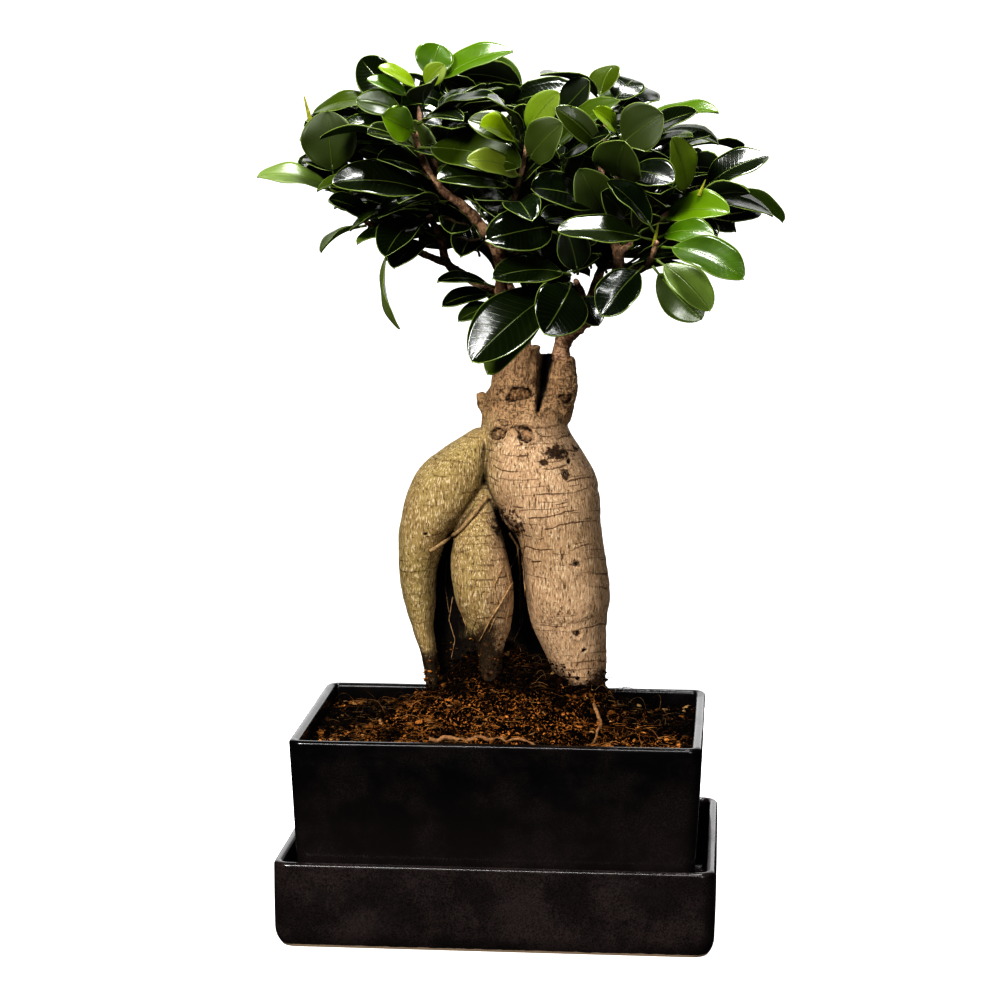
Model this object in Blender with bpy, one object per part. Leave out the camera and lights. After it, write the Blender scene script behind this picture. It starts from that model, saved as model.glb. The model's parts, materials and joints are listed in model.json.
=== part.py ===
"""Ginseng fig bonsai (Ficus microcarpa) in a black glazed pot that stands in a matching drip tray.

Run with: blender --background --python part.py

Units are metres and +Z is up. The origin is the middle of the tray's flat underside, the front
of the pot faces -Y and +X is to the right. Nothing moves: the pot rests in the tray, the soil
fills the pot and the swollen root stands in the soil. The grafted twigs rise from two cut stubs
of the root and carry the leaves.
"""
import math

import bmesh
import bpy
from mathutils import Matrix, Vector, noise
from mathutils.bvhtree import BVHTree

MM = 0.001
GAP = 0.3 * MM  # clearance between pieces that touch

# ---- drip tray ----
TRAY_LENGTH = 214 * MM
TRAY_DEPTH = 143 * MM
TRAY_HEIGHT = 42.5 * MM
TRAY_WALL = 4.5 * MM
TRAY_FLOOR = 5 * MM
TRAY_CORNER = 8 * MM
TRAY_FOOT_INSET = 3 * MM  # the sides curve in to the foot by this much
TRAY_FOOT_RISE = 9 * MM
TRAY_FOOT_CUTS = (0.25, 0.6, 1)  # shares of the rise where the curve has a corner

# ---- pot ----
POT_LENGTH = 200 * MM  # outside, at the rim
POT_DEPTH = 132 * MM
POT_RIM_Z = 102 * MM
POT_TAPER = 0.045  # each side leans in by this much for each unit of height
POT_WALL = 4.8 * MM
POT_FLOOR = 6 * MM
POT_CORNER = 7 * MM
LIP_ROUND = 1.6 * MM
LIP_SEGMENTS = 2
CORNER_SEGMENTS = 5
DRAIN_HOLE = 14 * MM
DRAIN_SIDES = 20
DRAIN_SPACING = 90 * MM

# ---- soil ----
SOIL_EDGE_Z = 94 * MM  # where it meets the pot's wall
MOUND_RISE = 27 * MM  # how far it is heaped up around the root
MOUND_LENGTH = 52 * MM
MOUND_DEPTH = 36 * MM
MOUND_X = 4 * MM
MOUND_Y = -2 * MM
HEAP_RISE = 13 * MM  # how much higher it is heaped between the legs
HEAP_LENGTH = 34 * MM
HEAP_DEPTH = 17 * MM
HEAP_X = -8 * MM
HEAP_Y = 6 * MM
BANK_RISE = 12 * MM  # and banked up against the right leg
BANK_RADIUS = 21 * MM
BANK_X = 44 * MM
BANK_Y = -9 * MM
SOIL_ROUGHNESS = 2.2 * MM
SOIL_LUMP = 14 * MM
SOIL_CALM_EDGE = 6  # the lumps fade out over the outermost sixth
SOIL_GRID = (24, 16)
SOIL_ROOM = 0.5 * MM  # between the soil and the pot

# ---- swollen root ----
ROOT_VOXEL = 2.0 * MM
ROOT_KEEP = 0.09  # share of the fused surface's triangles that is kept
ROOT_SMOOTHING = 4
LIMB_SIDES = 16
POCKET_GROW = 0.6 * MM  # how much wider the soil's pocket is than the root

# Each limb is a stack of ellipses: height, middle in X, middle in Y, half width, half depth.
ROOT_LIMBS = {
    "left_leg": [
        (246, -9, 2, 6, 9), (238, -17, 2, 12, 14), (229, -24, 2, 17, 18), (218, -29, 2, 19, 20),
        (205, -34, 2, 17.5, 20), (190, -41, 2, 12.5, 18), (174, -43.5, 2, 9.5, 15),
        (160, -43, 2, 8, 12), (145, -41.5, 2, 5.5, 9), (130, -38, 2, 4.5, 7),
        (108, -35.5, 2, 3.5, 5), (86, -33, 2, 2.5, 3),
    ],
    "middle_leg": [
        (222, -8, 2, 5, 6), (208, -11, -4, 7, 8), (198, -12.5, -7, 11, 12),
        (184, -12, -9, 14.5, 14), (171, -10.4, -10, 15.5, 15), (159, -8.7, -10, 14, 14),
        (147, -7, -9, 10.5, 11), (137, -6.3, -9, 6.8, 8), (122, -6.2, -8, 5.5, 6),
        (104, -6.5, -7, 4.5, 5), (84, -7, -6, 3, 3),
    ],
    "right_leg": [
        (256, 11, 0, 17, 14), (245, 12, 0, 20.5, 19), (235, 14.5, 0, 24, 23),
        (222, 18, 0, 27.5, 26), (207, 22.5, 0, 25.5, 27), (193, 27.5, 0, 21.5, 26),
        (179, 30, 0, 21, 25), (163, 31.7, 0, 21, 24), (148, 32.4, 0, 18.6, 21),
        (135, 35.3, 0, 15.5, 18), (120, 38.5, 0, 12.5, 14), (100, 40, 0, 9, 10),
        (78, 41, 0, 5, 5),
    ],
    "neck": [
        (238, 9, 0, 20, 17), (249, 9.5, 0, 20.6, 16), (256, 10.5, 0, 20.8, 14.5),
        (264, 12, 2, 17, 11), (272, 16, 6, 11, 5),
    ],
    "left_stub": [
        (250, 4, 1, 14.5, 13), (260, 3.4, 1, 13.2, 12), (269, 4.6, 1, 11.8, 11),
        (277, 6.2, 1, 10.8, 10), (288, 8, 1, 9.4, 9),
    ],
    "right_stub": [
        (250, 24, 2, 8.2, 10), (260, 26.2, 2, 8.8, 9.5), (267, 27.6, 2, 8.8, 9),
        (274, 27.8, 2, 7.8, 8), (282, 28.2, 2, 6.6, 7.5),
    ],
    "back_leg": [
        (240, 4, 6, 16, 12), (222, -3, 11, 24, 14), (203, -5.5, 14, 26.5, 14),
        (182, -9.5, 17, 30.5, 13), (160, -10, 18, 32, 12), (138, -7.5, 18, 31.5, 12),
        (118, -6, 18, 30, 12), (96, -5, 18, 23, 9), (80, 0, 17, 11, 5),
    ],
    "snag": [(252, -6, 0, 4, 4), (258, -9.5, 1, 3, 3), (264.5, -13, 1, 1.6, 1.6)],
}

# ---- twigs: places along the middle in millimetres, and the diameter at both ends ----
BRANCHES = {
    "main_branch": ([(1, -3, 289.6), (0.5, -5, 296), (-1, -10, 311), (-1, -18, 332),
                     (-10, -24, 349), (-18, -28, 358), (-28, -32, 366), (-37, -36, 382),
                     (-40, -38, 393)], 7.6, 2.7),
    "right_graft": ([(27.5, 1, 284.4), (28.5, 0.5, 289), (37, -8, 299), (46, -14, 306), (54, -25, 320),
                     (57, -30, 335), (51, -30, 349), (48, -20, 370), (50, 0, 404)], 9, 2.6),
    "back_left_branch": ([(9.5, 5, 290), (9, 8, 296), (-2, 28, 318), (-26, 52, 348),
                          (-45, 69, 371)], 6.5, 2.6),
    "left_branch": ([(-1, -10, 311), (-9, -3, 316), (-17, 1, 321), (-28, 0, 328),
                     (-31, -4, 340), (-36, -10, 352)], 6, 3),
    "left_twig": ([(-28, 0, 328), (-39, -4, 333), (-52, -9, 340), (-66, -14, 349),
                   (-79, -16, 362)], 3.6, 2),
    "right_shoot": ([(54, -25, 320), (64, -50, 328), (73, -71, 334), (77, -79, 344)], 4.2, 2.2),
    "centre_shoot": ([(37, -8, 299), (39, -30, 311), (41, -50, 318), (39, -66, 325)], 4.2, 2.4),
    "top_left_twig": ([(-28, -32, 366), (-34, -20, 384), (-41, -8, 402), (-38, 2, 416)], 3.4, 2),
    "centre_front_twig": ([(-1, -18, 332), (5, -38, 352), (12, -50, 374), (15, -50, 390)], 3.6, 2),
    "front_right_twig": ([(51, -30, 349), (56, -42, 366), (58, -50, 386)], 3.4, 2),
    "upper_right_branch": ([(57, -30, 335), (71, -31, 347), (86, -29, 359), (94, -17, 366)], 4, 2),
    "back_centre_branch": ([(-2, 28, 318), (4, 42, 340), (6, 57, 368), (3, 67, 396)], 4.6, 2.4),
    "back_right_branch": ([(37, -8, 299), (41, 14, 310), (52, 50, 342), (62, 75, 366)], 5.5, 2.6),
}
LEAST_FORK_SINE = 0.4  # a fork at a flatter angle starts as if it had this one
FORKS = {  # side twigs and the twigs they grow from
    "left_branch": "main_branch", "left_twig": "left_branch", "right_shoot": "right_graft",
    "centre_shoot": "right_graft", "top_left_twig": "main_branch",
    "centre_front_twig": "main_branch", "front_right_twig": "right_graft",
    "upper_right_branch": "right_graft", "back_centre_branch": "back_left_branch",
    "back_right_branch": "right_graft",
}

# ---- root strands ----
STRAND_LIFT = 0.6 * MM
STRAND_STOPS = 3  # places for each stretch where a strand is laid against what is under it
FEEL_FROM = 200 * MM  # the distance from which a strand is laid on
FEELERS = 6
LOOSE_ROOTS = {  # laid on the soil: places in X and Y, and the diameter
    "loose_root_front": ([(-33, -47), (-24, -44), (-15, -46), (-4, -47), (8, -51), (20, -54)], 2.6),
    "loose_root_right": ([(46, -22), (50, -30), (48, -40), (44, -47)], 2.0),
}
AERIAL_ROOT = ([(-8, 214), (-14, 206), (-20, 199), (-28, 192), (-36, 187)], 1.8)  # X and Z

# ---- leaves ----
LEAF_THICKNESS = 0.7 * MM
LEAF_STALK = 0.13  # share of a leaf's length that is its stalk
STALK_WIDTH = 1.6 * MM
LEAF_ARCH = 0.10  # how far the middle stands above the line from base to tip, per unit of length
LEAF_FOLD = 0.22  # how steeply the two halves rise from the midrib
LEAF_ROWS = 7
LEAF_FULLNESS = 0.62  # below 1 the outline is fuller than a pointed oval
LEAF_ROOM = 1.3 * MM  # leaves are kept as far apart as leaves of this thickness would be
SWING_STEP = 4  # degrees by which a leaf is turned at its base until it is clear
SWING_TRIES = 12
LEAF_SLIDES = (0, 1, 2, 3, 4)  # millimetres by which its stalk may be shortened

UP = (0, 0, 1)
FRONT = (0, -1, 0.3)
FRONT_UP = (0, -0.7, 0.8)
BACK_UP = (0, 0.5, 0.9)

DARK = (0.016, 0.045, 0.012)
OLIVE = (0.085, 0.14, 0.016)
BRIGHT = (0.15, 0.27, 0.02)
PALE = (0.22, 0.33, 0.10)
YELLOW = (0.42, 0.47, 0.03)

# Each leaf: where its stalk starts, where its tip is, its width, which way its glossy side looks
# and its colour. Places and widths are in millimetres.
LEAVES = {
    "leaf_far_left": ((-80, -14, 363), (-118, -25, 372), 19, (-0.1, -0.5, 0.85), PALE),
    "leaf_round_left": ((-81, -21, 371), (-83, -28, 403), 27, FRONT, OLIVE),
    "leaf_flat_left": ((-40, -39, 386), (-84, -46, 391), 20, (0, -0.15, 1), PALE),
    "leaf_big_left": ((-29, -40, 363), (-76, -62, 370), 28, FRONT_UP, DARK),
    "leaf_arched_left": ((-52, -6, 405), (-93, -10, 402), 18, (0, -0.5, 0.9), OLIVE),
    "leaf_narrow_left": ((-44, -10, 399), (-75, 0, 424), 19, (-0.7, -0.3, 0.7), DARK),
    "leaf_round_top": ((-38, 2, 417), (-33, 10, 435), 19, (0, -1, 0.2), OLIVE),
    "leaf_glossy_top": ((-36, 5, 415), (3, 12, 432), 20, (0, -0.6, 0.8), BRIGHT),
    "leaf_arched_middle": ((-39, -34, 397), (0, -48, 410), 19, (0.2, -0.3, 0.9), DARK),
    "leaf_olive_middle": ((-37, -42, 386), (13, -62, 378), 26, FRONT_UP, OLIVE),
    "leaf_yellow_middle": ((12, -52, 385), (-5, -72, 397), 19, FRONT_UP, YELLOW),
    "leaf_upright_middle": ((16, -55, 380), (33, -74, 398), 20, FRONT, OLIVE),
    "leaf_dark_middle": ((12, -48, 366), (-21, -74, 379), 24, FRONT_UP, DARK),
    "leaf_olive_top_right": ((46, 0, 408), (52, 10, 425), 17, (-0.4, -0.8, 0.5), OLIVE),
    "leaf_dark_top_right": ((52, 4, 406), (62, 20, 418), 18, (0.3, -0.5, 0.8), DARK),
    "leaf_umbrella": ((54, 8, 402), (68, 34, 414), 24, (0.1, -0.6, 0.8), DARK),
    "leaf_olive_right": ((59, -50, 387), (79, -62, 402), 24, FRONT, OLIVE),
    "leaf_round_right": ((59, -52, 372), (62, -82, 390), 25, FRONT, OLIVE),
    "leaf_long_right": ((58, -14, 390), (104, -30, 403), 20, (-0.2, -0.2, 1), DARK),
    "leaf_bright_curved": ((88, -32, 364), (82, -52, 391), 18, (0.5, -0.8, 0.2), BRIGHT),
    "leaf_glossy_far_right": ((95, -19, 364), (128, -12, 382), 22, (-0.3, -0.6, 0.7), DARK),
    "leaf_light_right": ((77, -38, 352), (110, -60, 357), 21, (0, -0.8, 0.7), BRIGHT),
    "leaf_thin_far_right": ((96, -12, 366), (136, 22, 349), 19, (0.1, 0.25, 1), PALE),
    "leaf_right_front": ((79, -81, 342), (117, -98, 329), 22, (0.2, -0.7, 0.7), BRIGHT),
    "leaf_right_low": ((77, -81, 336), (102, -92, 314), 20, (0.5, -0.8, 0.5), DARK),
    "leaf_right_inner": ((75, -80, 345), (32, -92, 350), 20, FRONT_UP, DARK),
    "leaf_right_hanging": ((71, -76, 333), (52, -88, 311), 20, (-0.3, -1, 0.4), DARK),
    "leaf_right_raised": ((76, -78, 348), (54, -80, 372), 17, (0.6, -0.6, 0.6), DARK),
    "leaf_centre_flat": ((37, -68, 328), (2, -88, 328), 20, (0, -0.7, 0.8), DARK),
    "leaf_centre_long": ((35, -70, 324), (-7, -95, 290), 30, (-0.3, -0.8, 0.6), DARK),
    "leaf_centre_broad": ((38, -70, 325), (12, -88, 304), 26, (0.1, -1, 0.4), DARK),
    "leaf_centre_low": ((35, -64, 322), (-2, -74, 282), 21, (-0.4, -0.8, 0.5), DARK),
    "leaf_left_narrow": ((-66, -18, 348), (-87, -30, 336), 16, (-0.1, 0.1, 1), PALE),
    "leaf_left_hanging": ((-55, -13, 339), (-49, -25, 298), 16, (-0.9, -0.2, 0.2), PALE),
    "leaf_left_round": ((-38, -14, 351), (-53, -48, 335), 21, (-0.2, -0.6, 0.7), DARK),
    "leaf_left_low": ((-33, -8, 338), (-50, -40, 329), 20, (-0.2, -0.4, 0.9), DARK),
    "leaf_back_left": ((-48, 71, 371), (-84, 88, 356), 24, (-0.3, 0.4, 0.9), DARK),
    "leaf_back_middle": ((3, 71, 397), (12, 106, 388), 25, BACK_UP, OLIVE),
    "leaf_back_right": ((66, 78, 366), (98, 96, 352), 24, (0.3, 0.4, 0.9), DARK),
    "leaf_back_top": ((0, 68, 399), (-14, 64, 430), 21, (-0.2, 0.8, 0.4), BRIGHT),
}

# ---- finishes: colour, roughness ----
GLAZE = ((0.006, 0.005, 0.005), 0.12)
EARTH = ((0.035, 0.018, 0.010), 0.95)
BARK = ((0.36, 0.25, 0.13), 0.80)
TWIG_BARK = ((0.20, 0.11, 0.06), 0.85)
STRAND_BARK = ((0.42, 0.24, 0.10), 0.80)
LEAF_ROUGHNESS = 0.25


def clear_scene():
    for obj in list(bpy.data.objects):
        bpy.data.objects.remove(obj, do_unlink=True)


def finish(obj, colour, roughness):
    """Give an object its own plain material."""
    material = bpy.data.materials.new(obj.name + "_finish")
    material.use_nodes = True
    shader = material.node_tree.nodes["Principled BSDF"]
    shader.inputs["Base Color"].default_value = (*colour, 1)
    shader.inputs["Roughness"].default_value = roughness
    shader.inputs["Metallic"].default_value = 0
    obj.data.materials.append(material)
    return obj


def add_object(name, bm):
    """Turn a bmesh into a named object, with its faces pointing out."""
    bmesh.ops.recalc_face_normals(bm, faces=bm.faces)
    mesh = bpy.data.meshes.new(name)
    bm.to_mesh(mesh)
    bm.free()
    obj = bpy.data.objects.new(name, mesh)
    bpy.context.scene.collection.objects.link(obj)
    return obj


def evaluated_tree(obj):
    """The surface of an object with its modifiers, for finding what touches it."""
    bpy.context.view_layer.update()
    return BVHTree.FromObject(obj, bpy.context.evaluated_depsgraph_get())


def is_level(edge, height):
    return all(abs(vert.co.z - height) < GAP for vert in edge.verts)


def bevel(bm, edges, offset, segments):
    bmesh.ops.bevel(bm, geom=edges, offset=offset, segments=segments, profile=0.5,
                    affect="EDGES", material=-1, clamp_overlap=True)


# ---- pot and tray ----
def open_box(length, depth, height, wall, floor, corner, taper, lip_round):
    """A box with rounded corners, leaning sides, an open top and a rounded lip."""
    bm = bmesh.new()
    bmesh.ops.create_cube(bm, size=1)
    for vert in bm.verts:
        vert.co.z = (vert.co.z + 0.5) * height
        lean = 2 * taper * (height - vert.co.z)
        vert.co.x *= length - lean
        vert.co.y *= depth - lean
    upright = [e for e in bm.edges if abs(e.verts[0].co.z - e.verts[1].co.z) > height / 2]
    bevel(bm, upright, corner, CORNER_SEGMENTS)
    top = max(bm.faces, key=lambda face: face.calc_center_median().z)
    bmesh.ops.inset_individual(bm, faces=[top], thickness=wall, use_even_offset=True)
    hollow = bmesh.ops.extrude_face_region(bm, geom=[top])
    bmesh.ops.delete(bm, geom=[top], context="FACES_ONLY")
    sunk = [item for item in hollow["geom"] if isinstance(item, bmesh.types.BMVert)]
    drop = height - floor
    for vert in sunk:
        vert.co.x -= math.copysign(taper * drop, vert.co.x)
        vert.co.y -= math.copysign(taper * drop, vert.co.y)
        vert.co.z -= drop
    bevel(bm, [e for e in bm.edges if is_level(e, height)], lip_round, LIP_SEGMENTS)
    bevel(bm, [e for e in bm.edges if is_level(e, floor)], lip_round, LIP_SEGMENTS)
    return bm


def make_tray():
    bm = open_box(TRAY_LENGTH, TRAY_DEPTH, TRAY_HEIGHT, TRAY_WALL, TRAY_FLOOR, TRAY_CORNER, 0,
                  LIP_ROUND)
    for share in TRAY_FOOT_CUTS:
        bmesh.ops.bisect_plane(bm, geom=bm.verts[:] + bm.edges[:] + bm.faces[:],
                               plane_co=(0, 0, share * TRAY_FOOT_RISE), plane_no=UP)
    inner_length = TRAY_LENGTH / 2 - TRAY_WALL
    inner_depth = TRAY_DEPTH / 2 - TRAY_WALL
    for vert in bm.verts:
        on_outside = abs(vert.co.x) > inner_length + GAP or abs(vert.co.y) > inner_depth + GAP
        inset = TRAY_FOOT_INSET * max(0, 1 - vert.co.z / TRAY_FOOT_RISE) ** 2
        if on_outside:
            vert.co.x -= math.copysign(inset, vert.co.x)
            vert.co.y -= math.copysign(inset, vert.co.y)
    obj = add_object("drip_tray", bm)
    return finish(obj, *GLAZE)


def make_drain_cutter(x):
    bm = bmesh.new()
    bmesh.ops.create_cone(bm, cap_ends=True, segments=DRAIN_SIDES, radius1=DRAIN_HOLE / 2,
                          radius2=DRAIN_HOLE / 2, depth=POT_FLOOR * 4)
    cutter = add_object("drain_cutter", bm)
    cutter.location = (x, 0, TRAY_FLOOR + GAP + POT_FLOOR / 2)
    cutter.hide_render = True
    cutter.display_type = "WIRE"
    return cutter


def make_pot():
    foot_z = TRAY_FLOOR + GAP
    height = POT_RIM_Z - foot_z
    bm = open_box(POT_LENGTH, POT_DEPTH, height, POT_WALL, POT_FLOOR, POT_CORNER, POT_TAPER,
                  LIP_ROUND)
    bevel(bm, [e for e in bm.edges if is_level(e, 0)], LIP_ROUND, LIP_SEGMENTS)
    obj = add_object("pot", bm)
    obj.location.z = foot_z
    for x in (-DRAIN_SPACING / 2, DRAIN_SPACING / 2):
        hole = obj.modifiers.new("drain_hole", "BOOLEAN")
        hole.operation = "DIFFERENCE"
        hole.solver = "EXACT"
        hole.object = make_drain_cutter(x)
    return finish(obj, *GLAZE)


# ---- swollen root ----
def add_limb(bm, rings):
    """A closed tube through a stack of ellipses."""
    loops = []
    for z, x, y, half_width, half_depth in rings:
        circle = bmesh.ops.create_circle(bm, cap_ends=False, radius=1, segments=LIMB_SIDES)
        bmesh.ops.scale(bm, vec=(half_width * MM, half_depth * MM, 1), verts=circle["verts"])
        bmesh.ops.translate(bm, vec=Vector((x, y, z)) * MM, verts=circle["verts"])
        loops.append(list({e for vert in circle["verts"] for e in vert.link_edges}))
    for upper, lower in zip(loops, loops[1:]):
        bmesh.ops.bridge_loops(bm, edges=upper + lower)
    for end in (loops[0], loops[-1]):
        bmesh.ops.contextual_create(bm, geom=end)


def root_bmesh():
    bm = bmesh.new()
    for rings in ROOT_LIMBS.values():
        add_limb(bm, rings)
    return bm


def fuse(obj, grow):
    """Grow the limbs together into one body, and widen it by grow."""
    remesh = obj.modifiers.new("grown_together", "REMESH")
    remesh.mode = "VOXEL"
    remesh.voxel_size = ROOT_VOXEL
    smooth = obj.modifiers.new("soft_joins", "SMOOTH")
    smooth.factor = 0.5
    smooth.iterations = ROOT_SMOOTHING
    fewer = obj.modifiers.new("fewer_faces", "DECIMATE")
    fewer.ratio = ROOT_KEEP
    if grow:
        swell = obj.modifiers.new("swell", "DISPLACE")
        swell.mid_level = 0
        swell.strength = grow


def make_root():
    obj = add_object("swollen_root", root_bmesh())
    obj.data.shade_smooth()
    fuse(obj, 0)
    return finish(obj, *BARK)


def make_root_pocket():
    pocket = add_object("root_pocket", root_bmesh())
    fuse(pocket, POCKET_GROW)
    pocket.hide_render = True
    pocket.display_type = "WIRE"
    return pocket


# ---- soil ----
def pot_room(z):
    """Half the length and depth that the pot leaves for soil at a height."""
    lean = POT_TAPER * (POT_RIM_Z - z) + POT_WALL + SOIL_ROOM
    return POT_LENGTH / 2 - lean, POT_DEPTH / 2 - lean


def soil_height(x, y):
    """The heaped and slightly lumpy surface, level where it meets the pot."""
    half_length, half_depth = pot_room(SOIL_EDGE_Z)
    inward = 1 - max(abs(x) / half_length, abs(y) / half_depth)
    edge = min(1, SOIL_CALM_EDGE * inward)
    mound = math.exp(-((x - MOUND_X) / MOUND_LENGTH) ** 2 - ((y - MOUND_Y) / MOUND_DEPTH) ** 2)
    heap = math.exp(-((x - HEAP_X) / HEAP_LENGTH) ** 2 - ((y - HEAP_Y) / HEAP_DEPTH) ** 2)
    bank = math.exp(-((x - BANK_X) ** 2 + (y - BANK_Y) ** 2) / BANK_RADIUS ** 2)
    lumps = SOIL_ROUGHNESS * noise.noise(Vector((x, y, 0)) / SOIL_LUMP) * edge
    level = SOIL_EDGE_Z + MOUND_RISE * mound + HEAP_RISE * heap + BANK_RISE * bank
    return level + lumps


def round_off(x, y, half_length, half_depth, radius):
    """Pull a point that lies in a sharp corner onto the corner's arc."""
    over_x = abs(x) - (half_length - radius)
    over_y = abs(y) - (half_depth - radius)
    reach = math.hypot(over_x, over_y)
    if over_x > 0 and over_y > 0 and reach > radius:
        x = math.copysign(half_length - radius + over_x * radius / reach, x)
        y = math.copysign(half_depth - radius + over_y * radius / reach, y)
    return x, y


def make_soil(pocket):
    bm = bmesh.new()
    bmesh.ops.create_grid(bm, x_segments=SOIL_GRID[0], y_segments=SOIL_GRID[1], size=1)
    half_length, half_depth = pot_room(SOIL_EDGE_Z)
    corner = POT_CORNER - POT_WALL + SOIL_ROOM
    for vert in bm.verts:
        x, y = round_off(vert.co.x * half_length, vert.co.y * half_depth, half_length,
                         half_depth, corner)
        vert.co = (x, y, soil_height(x, y))
    deep = bmesh.ops.extrude_face_region(bm, geom=bm.faces[:])
    bottom_z = TRAY_FLOOR + POT_FLOOR + 3 * GAP + LIP_ROUND
    low_length, low_depth = pot_room(bottom_z)
    for item in deep["geom"]:
        if isinstance(item, bmesh.types.BMVert):
            item.co.x *= low_length / half_length
            item.co.y *= low_depth / half_depth
            item.co.z = bottom_z
    underside = [face for face in bm.faces if all(v.co.z < bottom_z + GAP for v in face.verts)]
    bmesh.ops.dissolve_faces(bm, faces=underside)
    obj = add_object("soil", bm)
    hole = obj.modifiers.new("room_for_root", "BOOLEAN")
    hole.operation = "DIFFERENCE"
    hole.solver = "EXACT"
    hole.object = pocket
    return finish(obj, *EARTH)


# ---- twigs and strands ----
def make_rod(name, points, diameter_start, diameter_end, look, roundness, steps):
    """A tapering round rod on a smooth curve through some points."""
    curve = bpy.data.curves.new(name, "CURVE")
    curve.dimensions = "3D"
    curve.bevel_depth = 1
    curve.bevel_resolution = roundness
    curve.use_fill_caps = True
    curve.resolution_u = steps
    curve.render_resolution_u = 0
    spline = curve.splines.new("BEZIER")
    spline.bezier_points.add(len(points) - 1)
    for index, (knot, place) in enumerate(zip(spline.bezier_points, points)):
        share = index / (len(points) - 1)
        knot.co = place
        knot.handle_left_type = "AUTO"
        knot.handle_right_type = "AUTO"
        knot.radius = (diameter_start + (diameter_end - diameter_start) * share) / 2
    obj = bpy.data.objects.new(name, curve)
    bpy.context.scene.collection.objects.link(obj)
    return finish(obj, *look)


def metres(points):
    return [Vector(point) * MM for point in points]


def fork_start(parent, points, diameter):
    """Move a side twig's first point out of its parent's bark."""
    parent_points, parent_start, parent_end = parent
    ends = metres(parent_points)
    nearest = min(range(len(ends)), key=lambda i: (ends[i] - points[0]).length)
    share = nearest / (len(ends) - 1)
    parent_radius = (parent_start + (parent_end - parent_start) * share) / 2 * MM
    before, after = ends[max(nearest - 1, 0)], ends[min(nearest + 1, len(ends) - 1)]
    way = (points[1] - points[0]).normalized()
    sine = max(way.cross((after - before).normalized()).length, LEAST_FORK_SINE)
    slide = (parent_radius + 2 * GAP + diameter / 2) / sine
    return [points[0] + way * slide] + points[1:]


def make_branches():
    made = []
    for name, (points, start, end) in BRANCHES.items():
        places = metres(points)
        if name in FORKS:
            places = fork_start(BRANCHES[FORKS[name]], places, start * MM)
        made.append(make_rod(name, places, start * MM, end * MM, TWIG_BARK, 2, 3))
    return made


def lay_against(tree, places, radius, way):
    """Lead a strand over a surface, just clear of it, by feeling for it along a direction."""
    stops = [Vector(place) for place in places]
    count = len(stops) * STRAND_STOPS
    side = way.orthogonal().normalized() * radius
    points = []
    for index in range(count + 1):
        along = index / count * (len(stops) - 1)
        low = min(int(along), len(stops) - 2)
        start = stops[low].lerp(stops[low + 1], along - low)
        feelers = [Matrix.Rotation(math.tau * turn / FEELERS, 3, way) @ side
                   for turn in range(FEELERS)]
        reach = [tree.ray_cast(start + feeler, way)[3] for feeler in feelers]
        depth = min(distance for distance in reach if distance is not None)
        points.append(start + way * (depth - radius - STRAND_LIFT))
    return points


def make_strands(root_tree, soil_tree):
    for name, (places, diameter) in LOOSE_ROOTS.items():
        starts = [(x * MM, y * MM, FEEL_FROM) for x, y in places]
        points = lay_against(soil_tree, starts, diameter / 2 * MM, Vector((0, 0, -1)))
        make_rod(name, points, diameter * MM, diameter / 2 * MM, STRAND_BARK, 1, 1)
    places, diameter = AERIAL_ROOT
    starts = [(x * MM, -FEEL_FROM, z * MM) for x, z in places]
    points = lay_against(root_tree, starts, diameter / 2 * MM, Vector((0, 1, 0)))
    make_rod("aerial_root", points, diameter * MM, diameter * MM, STRAND_BARK, 1, 1)


# ---- leaves ----
def leaf_frame(base, tip, faces):
    """Axes of a leaf: along it, across it and out of its glossy side."""
    along = (tip - base).normalized()
    out = Vector(faces)
    out = (out - along * out.dot(along)).normalized()
    return along, out.cross(along), out


def leaf_half_width(share, width):
    """Half the width at a share of the length: a stalk, then a full oval with a blunt tip."""
    blade = (share - LEAF_STALK) / (1 - LEAF_STALK)
    if blade <= 0:
        return STALK_WIDTH / 2
    oval = max(0, 1 - (2 * blade ** 1.1 - 1) ** 2) ** LEAF_FULLNESS
    return max(width / 2 * oval, STALK_WIDTH / 2)


def leaf_bmesh(base, tip, width, faces, thickness):
    along, across, out = leaf_frame(base, tip, faces)
    length = (tip - base).length
    bm = bmesh.new()
    bmesh.ops.create_grid(bm, x_segments=LEAF_ROWS, y_segments=2, size=1)
    for vert in bm.verts:
        row = round((vert.co.x + 1) / 2 * LEAF_ROWS)
        side = round(vert.co.y)
        if row:
            turn = math.pi * (row - 1) / (LEAF_ROWS - 1)
            share = LEAF_STALK + (1 - LEAF_STALK) * (1 - math.cos(turn)) / 2
        else:
            share = 0
        half = leaf_half_width(share, width)
        rise = LEAF_ARCH * length * 4 * share * (1 - share) + LEAF_FOLD * half * abs(side)
        vert.co = base + along * share * length + across * side * half + out * rise
    bmesh.ops.recalc_face_normals(bm, faces=bm.faces)
    bmesh.ops.solidify(bm, geom=bm.faces[:], thickness=thickness)
    return bm


def swings():
    """Small turns in ever wider steps: degrees sideways and degrees up."""
    yield 0, 0
    for size in range(1, SWING_TRIES + 1):
        for side, up in ((0, 1), (0, -1), (1, 0), (-1, 0), (1, 1), (-1, 1), (1, -1), (-1, -1)):
            yield side * size * SWING_STEP, up * size * SWING_STEP


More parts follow.
